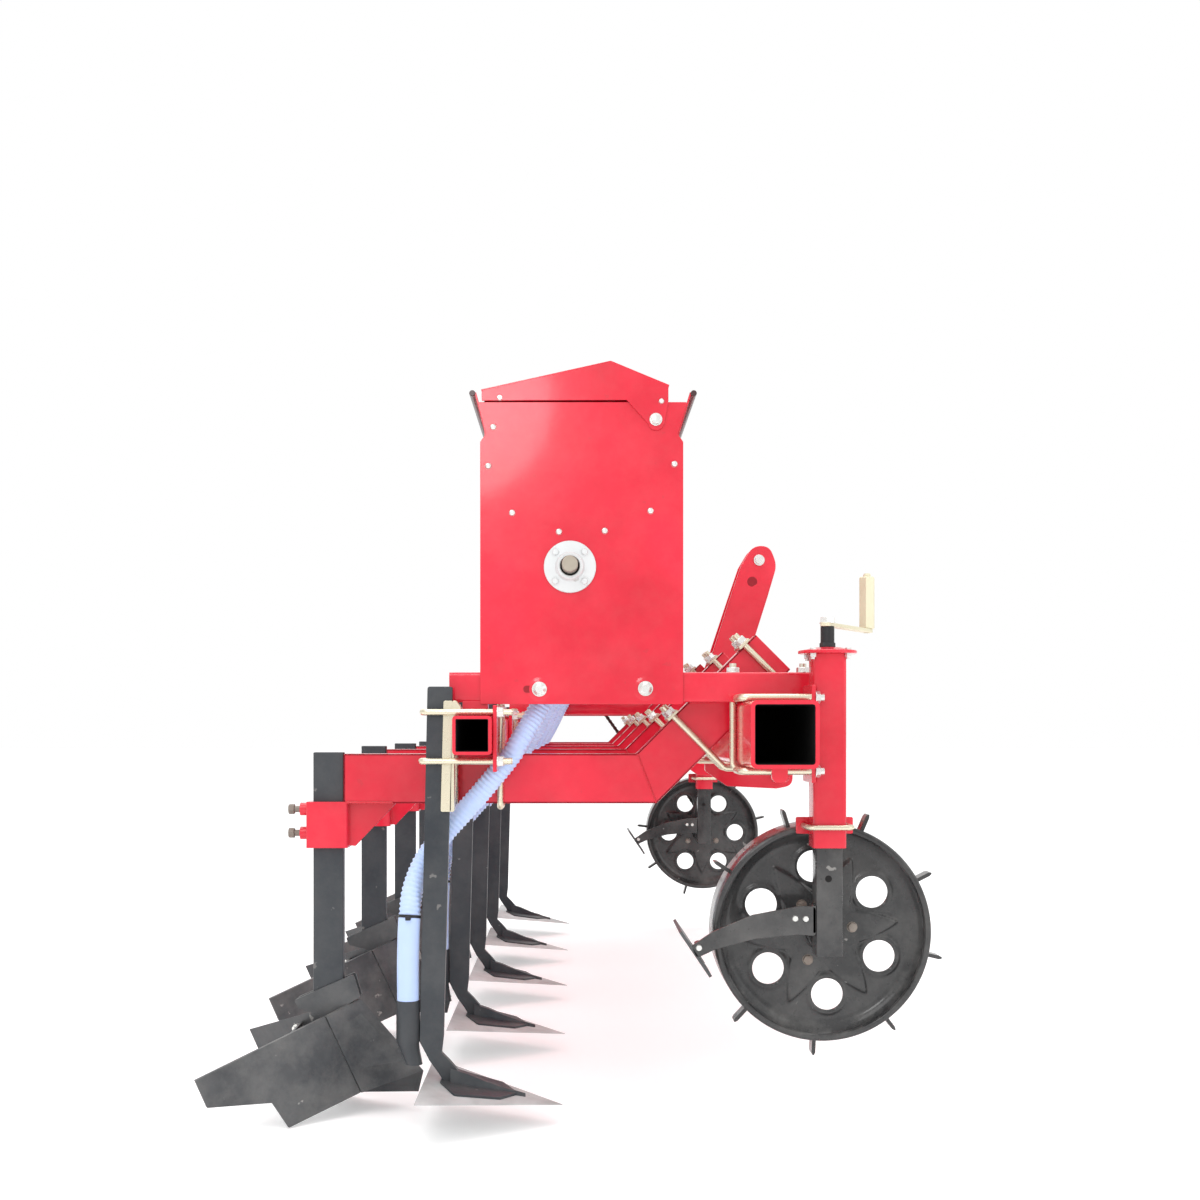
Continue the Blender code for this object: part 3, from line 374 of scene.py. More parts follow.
shape = bmesh.new()
for side in (-1, 1):
    outline = rounded([(0.255, 0.5575, 0), (0.255, 0.53), (0.3, 0.499), (0.4, 0.494, 0.02),
                       (0.433, 0.5, 0.03), (0.433, 0.545, 0.03), (0.395, 0.556), (0.347, 0.5575, 0)], 0.008)
    plate(shape, outline, side * 0.335, side * 0.349)
    pin(shape, (0.407, 0.52), side * 0.342, side * 0.405, 0.011, 32)
    pin(shape, (0.407, 0.52), side * 0.349, side * 0.354, 0.018, 32)
loop = [(0.281, 0.5575, 0), (0.281, 0.536, 0.012), (0.305, 0.536, 0.012), (0.305, 0.5575, 0)]
plate(shape, rounded(loop, 0.0), -1.124, -1.116)
finished("hitch_brackets", shape, red_enamel, edge=0.0012)

# ------------------------------------------------------------------ hitch mast
# Two 84 by 10 mm flat bars that stand on the beam and lean forward to take the tractor's top link.
# Splayed at the foot, parallel above the bend, red enamel, with a zinc-plated pin in the upper hole.
shape = bmesh.new()
block(shape, (0.257, -0.062, 0.6573), (0.345, 0.062, 0.667))
for side in (-1, 1):
    foot, neck = side * 0.05, side * 0.03
    rings = []
    for y_foot, y_neck in ((foot - 0.005, neck - 0.005), (foot + 0.005, neck + 0.005)):
        ring = [(0.259, y_foot, 0.66), (0.343, y_foot, 0.66)]
        top = rounded([(0.425, 0.912, 0), (0.4465, 0.985, 0.05), (0.43, 1.0285, 0.03), (0.392, 1.0285, 0.034),
                       (0.366, 0.985, 0.05), (0.341, 0.912, 0)], 0.0, 8)
        rings.append(ring + [(x, y_neck, z) for x, z in top])
    loft(shape, rings)
finished("mast_bars", shape, red_enamel, "hitch_mast", edge=0.0018)

zinc = weathered("pale_zinc", (0.72, 0.66, 0.5), (0.6, 0.56, 0.44), (0.55, 0.5, 0.42), (0.3, 0.22, 0.12),
                 160.0, 0.15, 0.1, 0.22, 0.45, 0.12, metal=0.85)
bright_nut = weathered("bright_zinc", (0.78, 0.78, 0.75), (0.66, 0.66, 0.64), (0.55, 0.52, 0.46),
                       (0.32, 0.22, 0.14), 170.0, 0.15, 0.18, 0.2, 0.45, 0.12, metal=0.75)


def bent(shape, points, radius, bend, sides=20, steps=6):
    """A round rod along straight runs with a soft bend at each corner."""
    sweep_along(shape, soft_line(points, bend, steps), lambda i: radius, sides)


def sweep_along(shape, path, radius_at, sides):
    """Carries a circle along a path without twisting it; its radius may change along the way."""
    tangents = [(path[min(i + 1, len(path) - 1)] - path[max(i - 1, 0)]).normalized()
                for i in range(len(path))]
    normal = tangents[0].orthogonal().normalized()
    rings = []
    for i, (point, tangent) in enumerate(zip(path, tangents)):
        if i:
            normal = (tangents[i - 1].rotation_difference(tangent) @ normal).normalized()
        side = tangent.cross(normal)
        rings.append(circle(point, radius_at(i), sides, normal, side))
    loft(shape, rings)


def nut(shape, centre, direction, across, height, bore=0.0, turn=0.0):
    """A hexagon nut or head with its corners turned away at the top, and a rod end standing out."""
    centre, direction = Vector(centre), Vector(direction).normalized()
    aim = direction.to_track_quat("Z", "Y")
    corner = across / math.sqrt(3)

    def ring(level, limit):
        points = []
        for i in range(24):
            angle = 2 * math.pi * i / 24
            local = (angle + math.pi / 6) % (math.pi / 3) - math.pi / 6
            size = min(across / 2 / math.cos(local), limit)
            points.append(centre + aim @ Vector((size * math.cos(angle + turn),
                                                 size * math.sin(angle + turn), level)))
        return points

    loft(shape, [ring(0, corner), ring(height * 0.8, corner), ring(height * 0.93, corner * 0.955),
                 ring(height, across / 2 * 0.97)])
    if bore:
        rod(shape, centre, centre + direction * (height + bore * 1.1), bore, 18)


def washer(shape, centre, direction, radius, height=0.0018):
    """A plain round washer."""
    centre = Vector(centre)
    rod(shape, centre, centre + Vector(direction).normalized() * height, radius, 32)


shape = bmesh.new()
pin(shape, (0.406, 0.996), -0.0405, 0.0405, 0.0092, 32)
for side in (-1, 1):
    washer(shape, (0.406, side * 0.035, 0.996), (0, side, 0), 0.0125, 0.003)
finished("mast_pin", shape, bright_nut, edge=0.0008)
# Enamel darkened to a deep red, painted shade: it stands for the shade in the mast's spare hole and in the rail
# slots.
recess_shade_red = weathered("shaded_enamel", (0.3, 0.006, 0.016), (0.22, 0.004, 0.01), (0.4, 0.16, 0.14),
                     (0.1, 0.03, 0.03), 90.0, 0.2, 0.1, 0.3, 0.5, 0.1)
# A thin deep-red disc on each side of the mast bars, painted shade for the spare lower hole.
shape = bmesh.new()
for y in (-0.0353, 0.0353):
    pin(shape, (0.3905, 0.9475), y * 0.997, y, 0.0112, 36)
finished("mast_spare_hole", shape, recess_shade_red)

# ------------------------------------------------------------------ rear toolbar
# The 60 mm square tube behind the beam that the tines hang on, held on the row arms by upright U-bolts.
# Red enamel like the beam; the U-bolts are zinc plated with bright nuts on a plate over the tube.
bar_x, bar_z, bar_half = -0.165, 0.6053, 0.03
bar_top = bar_z + bar_half
arm_places = [-0.904 + 0.5 * row for row in range(5)]
tine_places = [-1.0 + 0.5 * row for row in range(5)]
shape = bmesh.new()
square_tube(shape, (Vector((bar_x, 0, bar_z)), bar_half, X, Z), 0.005, Y * -1.05, Y * 1.14, 0.007)
finished("toolbar_tube", shape, red_enamel, "rear_toolbar", crease=50)
# A near-black lining inside the toolbar's bore, painted shade for the shade deep in the open tube.
shape = bmesh.new()
square_tube(shape, (Vector((bar_x, 0, bar_z)), 0.0249, X, Z), 0.0008, Y * -1.048, Y * 1.138, 0.003)
finished("toolbar_bore", shape, painted_shade_black, crease=50)
rods, nuts, plates = bmesh.new(), bmesh.new(), bmesh.new()
rod_low, rod_top = 0.4897, 0.6553
for arm_y in arm_places:
    near, far = arm_y - 0.0255, arm_y + 0.0255
    block(plates, (-0.209, near - 0.009, bar_top), (-0.119, far + 0.009, bar_top + 0.006))
    for x in (-0.2008, -0.1285):
        bent(rods, [(x, near, rod_top), (x, near, rod_low), (x, far, rod_low), (x, far, rod_top)], 0.005, 0.008)
        for y in (near, far):
            washer(nuts, (x, y, bar_top + 0.006), Z, 0.0095)
            nut(nuts, (x, y, bar_top + 0.0076), Z, 0.0145, 0.008)
finished("toolbar_u_bolts", rods, zinc)
finished("toolbar_nuts", nuts, bright_nut, edge=0.0004)
finished("toolbar_plates", plates, red_enamel, edge=0.0012)

# ------------------------------------------------------------------ row arms
# Five bent arms welded from 80 by 40 mm tube, notched to sit round the beam and cut square at the top.
# Red enamel; a welded socket at the back holds the ridger shank with two rusty set bolts in round bosses.
rusty = weathered("rusty_bolt", (0.3, 0.27, 0.24), (0.16, 0.12, 0.1), (0.55, 0.5, 0.44), (0.1, 0.05, 0.03),
                  190.0, 0.4, 0.6, 0.45, 0.8, 0.35, metal=0.55)
weld = weathered("weld_under_enamel", (0.66, 0.014, 0.032), (0.55, 0.01, 0.024), (0.55, 0.34, 0.3),
                 (0.18, 0.05, 0.045), 260.0, 0.2, 0.1, 0.22, 0.45, 0.45, gloss=0.35)


def weld_bead(shape, points, radius=0.003, pitch=0.0045):
    """A fillet weld: one overlapping ripple after another along the joint."""
    points = [Vector(point) for point in points]
    for start, end in zip(points, points[1:]):
        count = max(int((end - start).length / pitch * 3), 4)
        path = [start.lerp(end, i / count) for i in range(count + 1)]
        sweep_along(shape, path, lambda i: radius * (0.84 + 0.16 * math.cos(2 * math.pi * i / 3)), 8)


beads = bmesh.new()
for number, arm_y in enumerate(arm_places, 1):
    near, far, wall = arm_y - 0.02, arm_y + 0.02, 0.004
    shape = bmesh.new()
    for low, high in ((near, near + wall), (far - wall, far)):
        plate(shape, [(-0.3815, 0.575), (-0.3815, 0.495), (0.1236, 0.495), (0.2467, 0.6181), (0.2467, 0.6573),
                      (0.2859, 0.6573), (0.3397, 0.7111), (0.2834, 0.7674), (0.091, 0.575)], low, high)
    top = [(-0.3815, 0.571), (-0.3815, 0.575), (0.091, 0.575), (0.2834, 0.7674), (0.28623, 0.76457),
           (0.09266, 0.571)]
    under = [(-0.3815, 0.499), (-0.3815, 0.495), (0.1236, 0.495), (0.2467, 0.6181), (0.2467, 0.62376),
             (0.12194, 0.499)]
    lip = [(0.2859, 0.6573), (0.3397, 0.7111), (0.33687, 0.71393), (0.28024, 0.6573)]
    cap = [(-0.3815, 0.495), (-0.3815, 0.575), (-0.3775, 0.575), (-0.3775, 0.495)]
    for outline in (top, under, lip, cap):
        plate(shape, outline, near, far)
    finished(f"arm_tube_{number}", shape, red_enamel, f"bent_arm_{number}", edge=0.0016)
    shape = bmesh.new()
    hollow_bar(shape, rectangle(-0.442, arm_y - 0.022, -0.375, arm_y + 0.022, 0.004, 3),
               rectangle(-0.4331, arm_y - 0.0083, -0.3835, arm_y + 0.0083, 0.0012, 3), 0.423, 0.4975)
    plate(shape, [(-0.376, 0.426), (-0.365, 0.425), (-0.298, 0.4955), (-0.376, 0.4955)], arm_y - 0.004,
          arm_y + 0.004)
    for z in (0.4848, 0.446):
        rod(shape, (-0.4545, arm_y, z), (-0.441, arm_y, z), 0.0105, 28)
    finished(f"shank_socket_{number}", shape, red_enamel, edge=0.0012)
    shape = bmesh.new()
    for z, turn in ((0.4848, 0.3), (0.446, 0.8)):
        rod(shape, (-0.4645, arm_y, z), (-0.4535, arm_y, z), 0.0052, 18)
        nut(shape, (-0.4645, arm_y, z), -X, 0.0148, 0.0092, turn=turn)
    finished(f"set_bolts_{number}", shape, rusty, edge=0.0004)
    for y in (near - 0.001, far + 0.001):
        weld_bead(beads, [(-0.3775, y, 0.4965), (-0.302, y, 0.4965)], 0.0022)
        weld_bead(beads, [(0.0928, y, 0.5745), (0.1228, y, 0.4962)], 0.0012)
finished("arm_welds", beads, weld, crease=80)

# ------------------------------------------------------------------ arm clamps
# Pairs of V-shaped bolts that pull each arm on to the beam's edge, with a strap under each pair of nuts.
# Bent from 10 mm rod, zinc plated to a pale straw colour, with bright nuts.
aslant = Vector((-1, 0, 1)).normalized()
along = Vector((1, 0, 1)).normalized()
for number, arm_y in enumerate(arm_places, 1):
    rods, nuts = bmesh.new(), bmesh.new()
    seats = (Vector((0.15075, arm_y, 0.63475)), Vector((0.2655, arm_y, 0.7495)))
    for y in (-0.0255, 0.0255):
        step = Y * y
        path = [seats[0] + aslant * 0.024, Vector((0.2337, arm_y, 0.5517)), Vector((0.3523, arm_y, 0.5517)),
                Vector((0.3523, arm_y, 0.6627)), seats[1] + aslant * 0.024]
        bent(rods, [point + step for point in path], 0.005, 0.011)
        for seat in seats:
            washer(nuts, seat + aslant * 0.0054 + step, aslant, 0.0098)
            nut(nuts, seat + aslant * 0.007 + step, aslant, 0.015, 0.0088, turn=0.4 * (number - 1))
    for seat in seats:
        corners = [seat + aslant * 0.0004 + Y * y + along * a
                   for y, a in ((-0.035, -0.011), (0.035, -0.011), (0.035, 0.011), (-0.035, 0.011))]
        loft(rods, [corners, [corner + aslant * 0.005 for corner in corners]])
    finished(f"arm_v_bolts_{number}", rods, zinc, f"arm_clamp_{number}", edge=0.0008)
    finished(f"arm_nuts_{number}", nuts, bright_nut, edge=0.0004)

# ------------------------------------------------------------------ tines
# A 39 by 12 mm flat bar per row, forged forward into a foot at the bottom, with a round seed boot behind.
# Thin blue-black paint, worn grey along the edges and dusty near the ground.
dark_steel = weathered("dark_steel", (0.034, 0.039, 0.046), (0.062, 0.067, 0.073), (0.26, 0.25, 0.23),
                       (0.26, 0.25, 0.24), 120.0, 0.36, 0.5, 0.34, 0.62, 0.3, metal=0.25)
for number, y in enumerate(tine_places, 1):
    shape = bmesh.new()
    outline = [(-0.2373, 0.681), (-0.248, 0.194), (-0.2496, 0.129), (-0.234, 0.0993), (-0.22, 0.08),
               (-0.213, 0.0684), (-0.1785, 0.0624), (-0.181, 0.0697), (-0.192, 0.0868), (-0.2029, 0.0993),
               (-0.2153, 0.1118), (-0.2122, 0.1383), (-0.2108, 0.194), (-0.1984, 0.681)]
    plate(shape, rounded(outline, 0.004, 3), y - 0.006, y + 0.006)
    finished(f"tine_bar_{number}", shape, dark_steel, f"tine_{number}", edge=0.0014)
    shape = bmesh.new()
    rings = [circle(Vector((x, y, z)), radius, 32) for radius, z, x in (
        (0.013, 0.093, -0.2585), (0.0165, 0.1246, -0.268), (0.0185, 0.13, -0.268), (0.0185, 0.193, -0.268),
        (0.0165, 0.193, -0.268), (0.016, 0.135, -0.268), (0.011, 0.095, -0.2585))]
    loft(shape, rings, closed=True)
    finished(f"seed_boot_{number}", shape, dark_steel, edge=0.0005, crease=50)

# ------------------------------------------------------------------ tine clamps
# Two flat-laid U-bolts round each tine draw it on to the toolbar over a cast saddle with a hooked top.
# Pale straw zinc on saddle and bolts, with bright nuts over a red-enamelled plate in front.
rod_end, plate_front = -0.106, -0.1287
for number, y in enumerate(tine_places, 1):
    rods, nuts, saddle = bmesh.new(), bmesh.new(), bmesh.new()
    near, far = y - 0.0148, y + 0.0148
    for z, rear in ((0.6412, -0.2445), (0.565, -0.2465)):
        bent(rods, [(rod_end, near, z), (rear, near, z), (rear, far, z), (rod_end, far, z)], 0.005, 0.009)
        for rod_y, turn in ((near, -0.5), (far, 0.5)):
            washer(nuts, (plate_front, rod_y, z), X, 0.0095)
            nut(nuts, (plate_front + 0.0016, rod_y, z), X, 0.0145, 0.0085, turn=turn)
    front_plate = bmesh.new()
    block(front_plate, (plate_front - 0.006, y - 0.0245, 0.5487), (plate_front, y + 0.0245, 0.652))
    finished(f"tine_front_plate_{number}", front_plate, red_enamel, edge=0.0012)
    web = [(-0.1953, 0.4865), (-0.1953, 0.6356), (-0.185, 0.6356), (-0.185, 0.6485), (-0.192, 0.659),
           (-0.1985, 0.659), (-0.203, 0.4865)]
    plate(saddle, rounded(web, 0.003, 3), y - 0.0105, y + 0.0105)
    cheek = [(-0.1975, 0.659), (-0.212, 0.659), (-0.2165, 0.4865), (-0.2, 0.4865)]
    for side in (-1, 1):
        plate(saddle, rounded(cheek, 0.003, 3), y + side * 0.0063, y + side * 0.0105)
    finished(f"tine_u_bolts_{number}", rods, zinc, f"tine_clamp_{number}")
    finished(f"tine_nuts_{number}", nuts, bright_nut, edge=0.0004)
    finished(f"tine_saddle_{number}", saddle, zinc, edge=0.0012)

# ------------------------------------------------------------------ sweeps
# A flat triangular share under each tine's foot that cuts below the seed, with a dark rib and patch on top.
# Light grey bare plate, scoured by soil and a little rusty, with dull ground edges.
bare_steel = weathered("scoured_steel", (0.66, 0.68, 0.68), (0.27, 0.28, 0.28), (0.5, 0.48, 0.45),
                       (0.26, 0.22, 0.19), 110.0, 0.35, 0.35, 0.34, 0.6, 0.35, metal=0.12)
rib_sections = ((-0.202, 0.062, 0.088, 0.012, 0.008), (-0.1745, 0.058, 0.079, 0.011, 0.0075),
                (-0.145, 0.053, 0.0665, 0.0095, 0.005), (-0.115, 0.048, 0.056, 0.0075, 0.003),
                (-0.085, 0.042, 0.0478, 0.005, 0.001))
patch = rounded([(-0.217, -0.016), (-0.19, -0.074), (-0.122, -0.047), (-0.1, -0.006),
                 (-0.1, 0.006), (-0.122, 0.047), (-0.19, 0.074), (-0.217, 0.016)], 0.006, 4)
share_slope = (0.029 - 0.066) / (-0.027 + 0.243)
for number, y in enumerate(tine_places, 1):
    shape = bmesh.new()
    rear, tip = Vector((-0.243, y, 0.066)), Vector((-0.027, y, 0.029))
    lift = (tip - rear).cross(Y).normalized()
    lower = [rear - Y * 0.14, tip, rear + Y * 0.14]
    upper = [rear - Y * 0.13 + X * 0.001 + lift * 0.006, tip - X * 0.016 + lift * 0.006,
             rear + Y * 0.13 + X * 0.001 + lift * 0.006]
    edge_ring = [point + lift * 0.0012 for point in lower]
    loft(shape, [lower, edge_ring, upper])
    finished(f"share_plate_{number}", shape, bare_steel, f"sweep_{number}", edge=0.0004)
    shape = bmesh.new()
    loft(shape, [[(x, y - low, z), (x, y + low, z), (x, y + high, top), (x, y - high, top)]
                 for x, z, top, low, high in rib_sections])
    loft(shape, [[(x, y + w, 0.066 + share_slope * (x + 0.243) + up) for x, w in patch]
                 for up in (0.004, 0.0084)])
    finished(f"share_collar_{number}", shape, dark_steel, edge=0.0015)

# ------------------------------------------------------------------ ridgers
# A plough-like body per row that throws soil up: flat shank, two cheek plates, a folded breast and nose.
# Cut from 5 mm plate, welded, dipped in blue-black paint, dusty and scratched where soil has run.
scoured = weathered("scoured_dark_plate", (0.05, 0.053, 0.058), (0.12, 0.122, 0.124), (0.34, 0.33, 0.31),
                    (0.38, 0.37, 0.35), 75.0, 0.5, 0.6, 0.3, 0.62, 0.5, metal=0.35)


def folded_plate(shape, front, back, panels):
    """A plate folded between its panels, from the points of its two faces in order round the rim."""
    front, back = ([shape.verts.new(point) for point in face] for face in (front, back))
    faces = []
    for panel in panels:
        faces.append(shape.faces.new([front[i] for i in panel]))
        faces.append(shape.faces.new([back[i] for i in reversed(panel)]))
    for i in range(len(front)):
        after = (i + 1) % len(front)
        faces.append(shape.faces.new((front[i], front[after], back[after], back[i])))
    bmesh.ops.recalc_face_normals(shape, faces=faces)


ridger_lifts = (0.0, 0.025, 0.025, 0.025, 0.025)   # the nearest ridger is set 25 mm deeper
for number, (y, lift) in enumerate(zip(arm_places, ridger_lifts), 1):
    shape = bmesh.new()
    block(shape, (-0.4328, y - 0.008, 0.17 + lift), (-0.3838, y + 0.008, 0.5773 + (0.004 if lift else 0.0)))
    finished(f"ridger_shank_{number}", shape, dark_steel, f"ridger_{number}", edge=0.0016)
    shape = bmesh.new()
    cheek = rounded([(-0.463, 0.176 + lift), (-0.367, 0.218 + lift), (-0.356, 0.181 + lift),
                     (-0.409, 0.15 + lift), (-0.455, 0.162 + lift)], 0.004, 3)
    for side in (-1, 1):
        plate(shape, cheek, y + side * 0.0082, y + side * 0.013)
    nose = [(-0.3566, 0.176), (-0.2545, 0.059), (-0.2626, 0.025), (-0.334, 0.031)]
    for side in (-1, 1):
        outer = [Vector((x, y, z + lift)) for x, z in nose]
        outer += [Vector((-0.348, y + side * 0.045, 0.035 + lift)),
                  Vector((-0.405, y + side * 0.045, 0.156 + lift))]
        inset = Vector((-0.004, -side * 0.004, 0.0))
        back = [point + inset if abs(point.y - y) > 0.01 else point + X * -0.007 for point in outer]
        folded_plate(shape, outer, back, ((0, 1, 4, 5), (1, 2, 3, 4)))
    finished(f"ridger_breast_{number}", shape, scoured, edge=0.0008)

# ------------------------------------------------------------------ ridger wings
# Two mouldboard wings that trail from each breast and set how wide the furrow opens, joined by a strut.
# Sheared from 5 mm plate, with zinc bolts where the strut meets each wing.
for number, (y, lift) in enumerate(zip(arm_places, ridger_lifts), 1):
    shape, nuts = bmesh.new(), bmesh.new()
    for side in (-1, 1):
        inward = Vector((-0.003, -side * 0.0038, 0.0004))
        outline = [(-0.407, 0.0455, 0.156), (-0.35, 0.0455, 0.035), (-0.448, 0.122, 0.001),
                   (-0.473, 0.125, 0.04), (-0.5585, 0.179, 0.047), (-0.577, 0.179, 0.088)]
        flat = [Vector((x, y + side * w, z + lift)) for x, w, z in outline]
        folded_plate(shape, flat, [point + inward for point in flat], ((0, 1, 2, 3), (0, 3, 4, 5)))
        outward = -inward.normalized()
        seat = Vector((-0.472, y + side * 0.0965, 0.108 + lift))
        nut(nuts, seat - outward * 0.007, -outward, 0.013, 0.008, bore=0.0036)
        rod(nuts, seat + outward * 0.0005, seat + outward * 0.003, 0.0085, 24, end_radius=0.0055)
    block(shape, (-0.4745, y - 0.094, 0.098 + lift), (-0.4705, y + 0.094, 0.118 + lift))
    finished(f"ridger_wing_pair_{number}", shape, scoured, f"ridger_wings_{number}", edge=0.0006, crease=10)
    finished(f"wing_bolts_{number}", nuts, bright_nut, edge=0.0004)

# ------------------------------------------------------------------ seed hoses
# One ribbed hose per row takes seed from the metering housing down behind the tine to its boot.
# Bluish-white soft plastic, ribbed above and smooth below a black tie where it meets its lower sleeve.
hose_plastic = weathered("pale_hose", (0.52, 0.66, 0.95), (0.44, 0.57, 0.9), (0.7, 0.66, 0.6),
                         (0.6, 0.6, 0.62), 60.0, 0.14, 0.0, 0.3, 0.48, 0.1)
hose_shader = hose_plastic.node_tree.nodes["Principled BSDF"]
hose_shader.inputs["Subsurface Weight"].default_value = 0.15
hose_shader.inputs["Subsurface Radius"].default_value = (0.01, 0.012, 0.016)
black_rubber = weathered("black_tie", (0.012, 0.012, 0.014), (0.025, 0.025, 0.028), (0.2, 0.19, 0.18),
                         (0.05, 0.05, 0.05), 150.0, 0.2, 0.0, 0.35, 0.6, 0.2)


def eased_path(points, steps):
    """Points along a soft curve that passes through all the given points."""
    points = [Vector(point) for point in points]
    ends = [points[0] * 2 - points[1], *points, points[-1] * 2 - points[-2]]
    path = []
    for before, start, end, after in zip(ends, ends[1:], ends[2:], ends[3:]):
        for step in range(steps):
            t = step / steps
            bow = (2 * before - 5 * start + 4 * end - after) * t ** 2
            twist = (3 * start - before - 3 * end + after) * t ** 3
            path.append(0.5 * (2 * start + (end - before) * t + bow + twist))
    return [*path, points[-1]]


def even_path(path, pitch):
    """The same path cut into equal steps."""
    result, rest = [path[0]], 0.0
    for start, end in zip(path, path[1:]):
        length, reach = (end - start).length, pitch - rest
        while reach <= length:
            result.append(start.lerp(end, reach / length))
            reach += pitch
        rest = length - (reach - pitch)
    return [*result, path[-1]]


housing_places = [-0.936 + 0.468 * row for row in range(5)]
for number, (tine_y, top_y) in enumerate(zip(tine_places, housing_places), 1):
    side_y = tine_y + 0.0445
    path = even_path(eased_path([
        (-0.016, top_y, 0.7985), (-0.016, top_y, 0.79), (-0.016, top_y, 0.774), (-0.036, top_y, 0.71),
        (-0.068, top_y, 0.645), (-0.098, side_y, 0.592), (-0.115, side_y, 0.566), (-0.167, side_y, 0.503),
        (-0.215, side_y - 0.004, 0.45), (-0.245, side_y - 0.0105, 0.41), (-0.262, tine_y + 0.015, 0.365),
        (-0.266, tine_y + 0.001, 0.32), (-0.268, tine_y, 0.26), (-0.268, tine_y, 0.19)], 10), 0.0019)
    ribbed = [i for i, point in enumerate(path) if point.z > 0.322][-1]

    def hose_radius(i):
        """Ribs above the tie, and a plain sleeve below it."""
        if i > ribbed:
            return 0.0172
        return 0.0152 + 0.0022 * (1 + math.sin(2 * math.pi * i / 4)) / 2

    shape = bmesh.new()
    sweep_along(shape, path, hose_radius, 28)
    finished(f"hose_{number}", shape, hose_plastic, f"seed_hose_{number}", crease=75)
    shape = bmesh.new()
    tie = path[ribbed]
    heading = (path[ribbed + 2] - path[ribbed - 2]).normalized()
    rod(shape, tie - heading * 0.0022, tie + heading * 0.0022, 0.0181, 36)
    block(shape, tie + Vector((-0.004, -0.0245, -0.003)), tie + Vector((0.004, -0.017, 0.003)))
    finished(f"hose_tie_{number}", shape, black_rubber, edge=0.0006)

# ------------------------------------------------------------------ hopper
# A long folded trough for seed between two flat end panels, its flared rims rolled over into hems painted
# near-black as the shade inside the rolls.
# Sheet steel in glossy red enamel, bolted through each end panel, with a metering housing under each row.
# Red enamel darkened nearly to black, painted shade: the solid hem rods stand for the shadowed hollows of the
# rolled rims.
rolled_rim_shade = weathered("rolled_rim_shade", (0.055, 0.02, 0.022), (0.035, 0.012, 0.014), (0.2, 0.14, 0.12),
                     (0.08, 0.04, 0.04), 120.0, 0.2, 0.1, 0.3, 0.5, 0.15, gloss=0.3)
panel_inner, sheet = 0.9803, 0.003


def folded(path, thickness):
    """The outline of a thin sheet whose outer face follows an open path, left to right."""
    inner = []
    for index, (x, z) in enumerate(path):
        steps = [(path[i + 1][0] - path[i][0], path[i + 1][1] - path[i][1])
                 for i in (index - 1, index) if 0 <= i < len(path) - 1]
        normals = [Vector((-dz, dx)).normalized() for dx, dz in steps]
        mean = sum(normals, Vector((0, 0))).normalized()
        reach = thickness / mean.dot(normals[0])
        inner.append((x + mean.x * reach, z + mean.y * reach))
    return [*path, *reversed(inner)]


shape = bmesh.new()
trough = soft_line([(-0.1665, 1.144), (-0.1506, 1.083), (-0.1506, 1.0), (-0.1065, 0.952), (-0.033, 0.9225),
                    (0.039, 0.9225), (0.1106, 0.9555), (0.156, 1.0), (0.156, 1.08), (0.1755, 1.144)], 0.012)
plate(shape, folded(trough, sheet), -panel_inner, panel_inner)
finished("hopper_trough", shape, red_enamel, "hopper_body", edge=0.0005)

shape = bmesh.new()
outline = rounded([(-0.157, 0.654, 0.003), (0.162, 0.654, 0.003), (0.162, 1.066, 0.002),
                   (0.1575, 1.0725, 0.006), (0.153, 1.078, 0.004), (0.1685, 1.1285, 0.003),
                   (-0.1615, 1.1285, 0.003), (-0.148, 1.078, 0.004), (-0.1525, 1.0725, 0.006),
                   (-0.157, 1.066, 0.002)], 0.003, 5)
for side in (-1, 1):
    plate(shape, outline, side * panel_inner, side * (panel_inner + sheet))
finished("hopper_end_panels", shape, red_enamel, edge=0.0007)

shape = bmesh.new()
for x in (-0.1695, 0.1785):
    pin(shape, (x, 1.1425), -panel_inner - sheet, panel_inner + sheet, 0.0048, 24)
finished("hopper_hems", shape, rolled_rim_shade, edge=0.0008)

shape = bmesh.new()
for y in housing_places:
    block(shape, (-0.058, y - 0.04, 0.832), (0.026, y + 0.04, 0.923))
    rod(shape, (-0.016, y, 0.7995), (-0.016, y, 0.833), 0.0195, 32)
    pin(shape, (-0.016, 0.8695), y - 0.043, y + 0.043, 0.024, 32)
finished("metering_housings", shape, red_enamel, edge=0.0025)

shape = bmesh.new()
for side in (-1, 1):
    outer = side * (panel_inner + sheet)
    for x, z in ((-0.1364, 1.0889), (-0.1442, 1.0279), (-0.1067, 0.9544), (-0.0333, 0.9247), (0.0387, 0.9262),
                 (0.1106, 0.9575), (0.1481, 1.031)):
        pin(shape, (x, z), outer - side * 0.001, outer + side * 0.003, 0.0058, 24, end_radius=0.004)
        pin(shape, (x, z), outer + side * 0.003, outer + side * 0.0036, 0.004, 24, end_radius=0.0028)
finished("panel_bolts", shape, bright_nut)

shape, slot_shades, dimples = bmesh.new(), bmesh.new(), bmesh.new()
for side in (-1, 1):
    outer = side * (panel_inner + sheet)
    for x, z in ((-0.064, 0.6775), (0.1025, 0.6785)):
        pin(dimples, (x, z), outer - side * 0.0005, outer + side * 0.0012, 0.021, 48, end_radius=0.015)
        pin(shape, (x, z), outer + side * 0.0008, outer + side * 0.0028, 0.0118, 40)
        pin(shape, (x, z), outer + side * 0.0028, outer + side * 0.0062, 0.0104, 40, end_radius=0.0062)
    # A thin deep-red plate beside the rear rail bolt on each end panel, painted shade for the recess of a slot.
    plate(slot_shades, rectangle(-0.089, 0.672, -0.066, 0.683, 0.0054, 6), outer, outer + side * 0.0009)
finished("panel_dimples", dimples, red_enamel, crease=80)
finished("rail_bolts", shape, bright_nut, edge=0.0003)
finished("rail_slots", slot_shades, recess_shade_red)

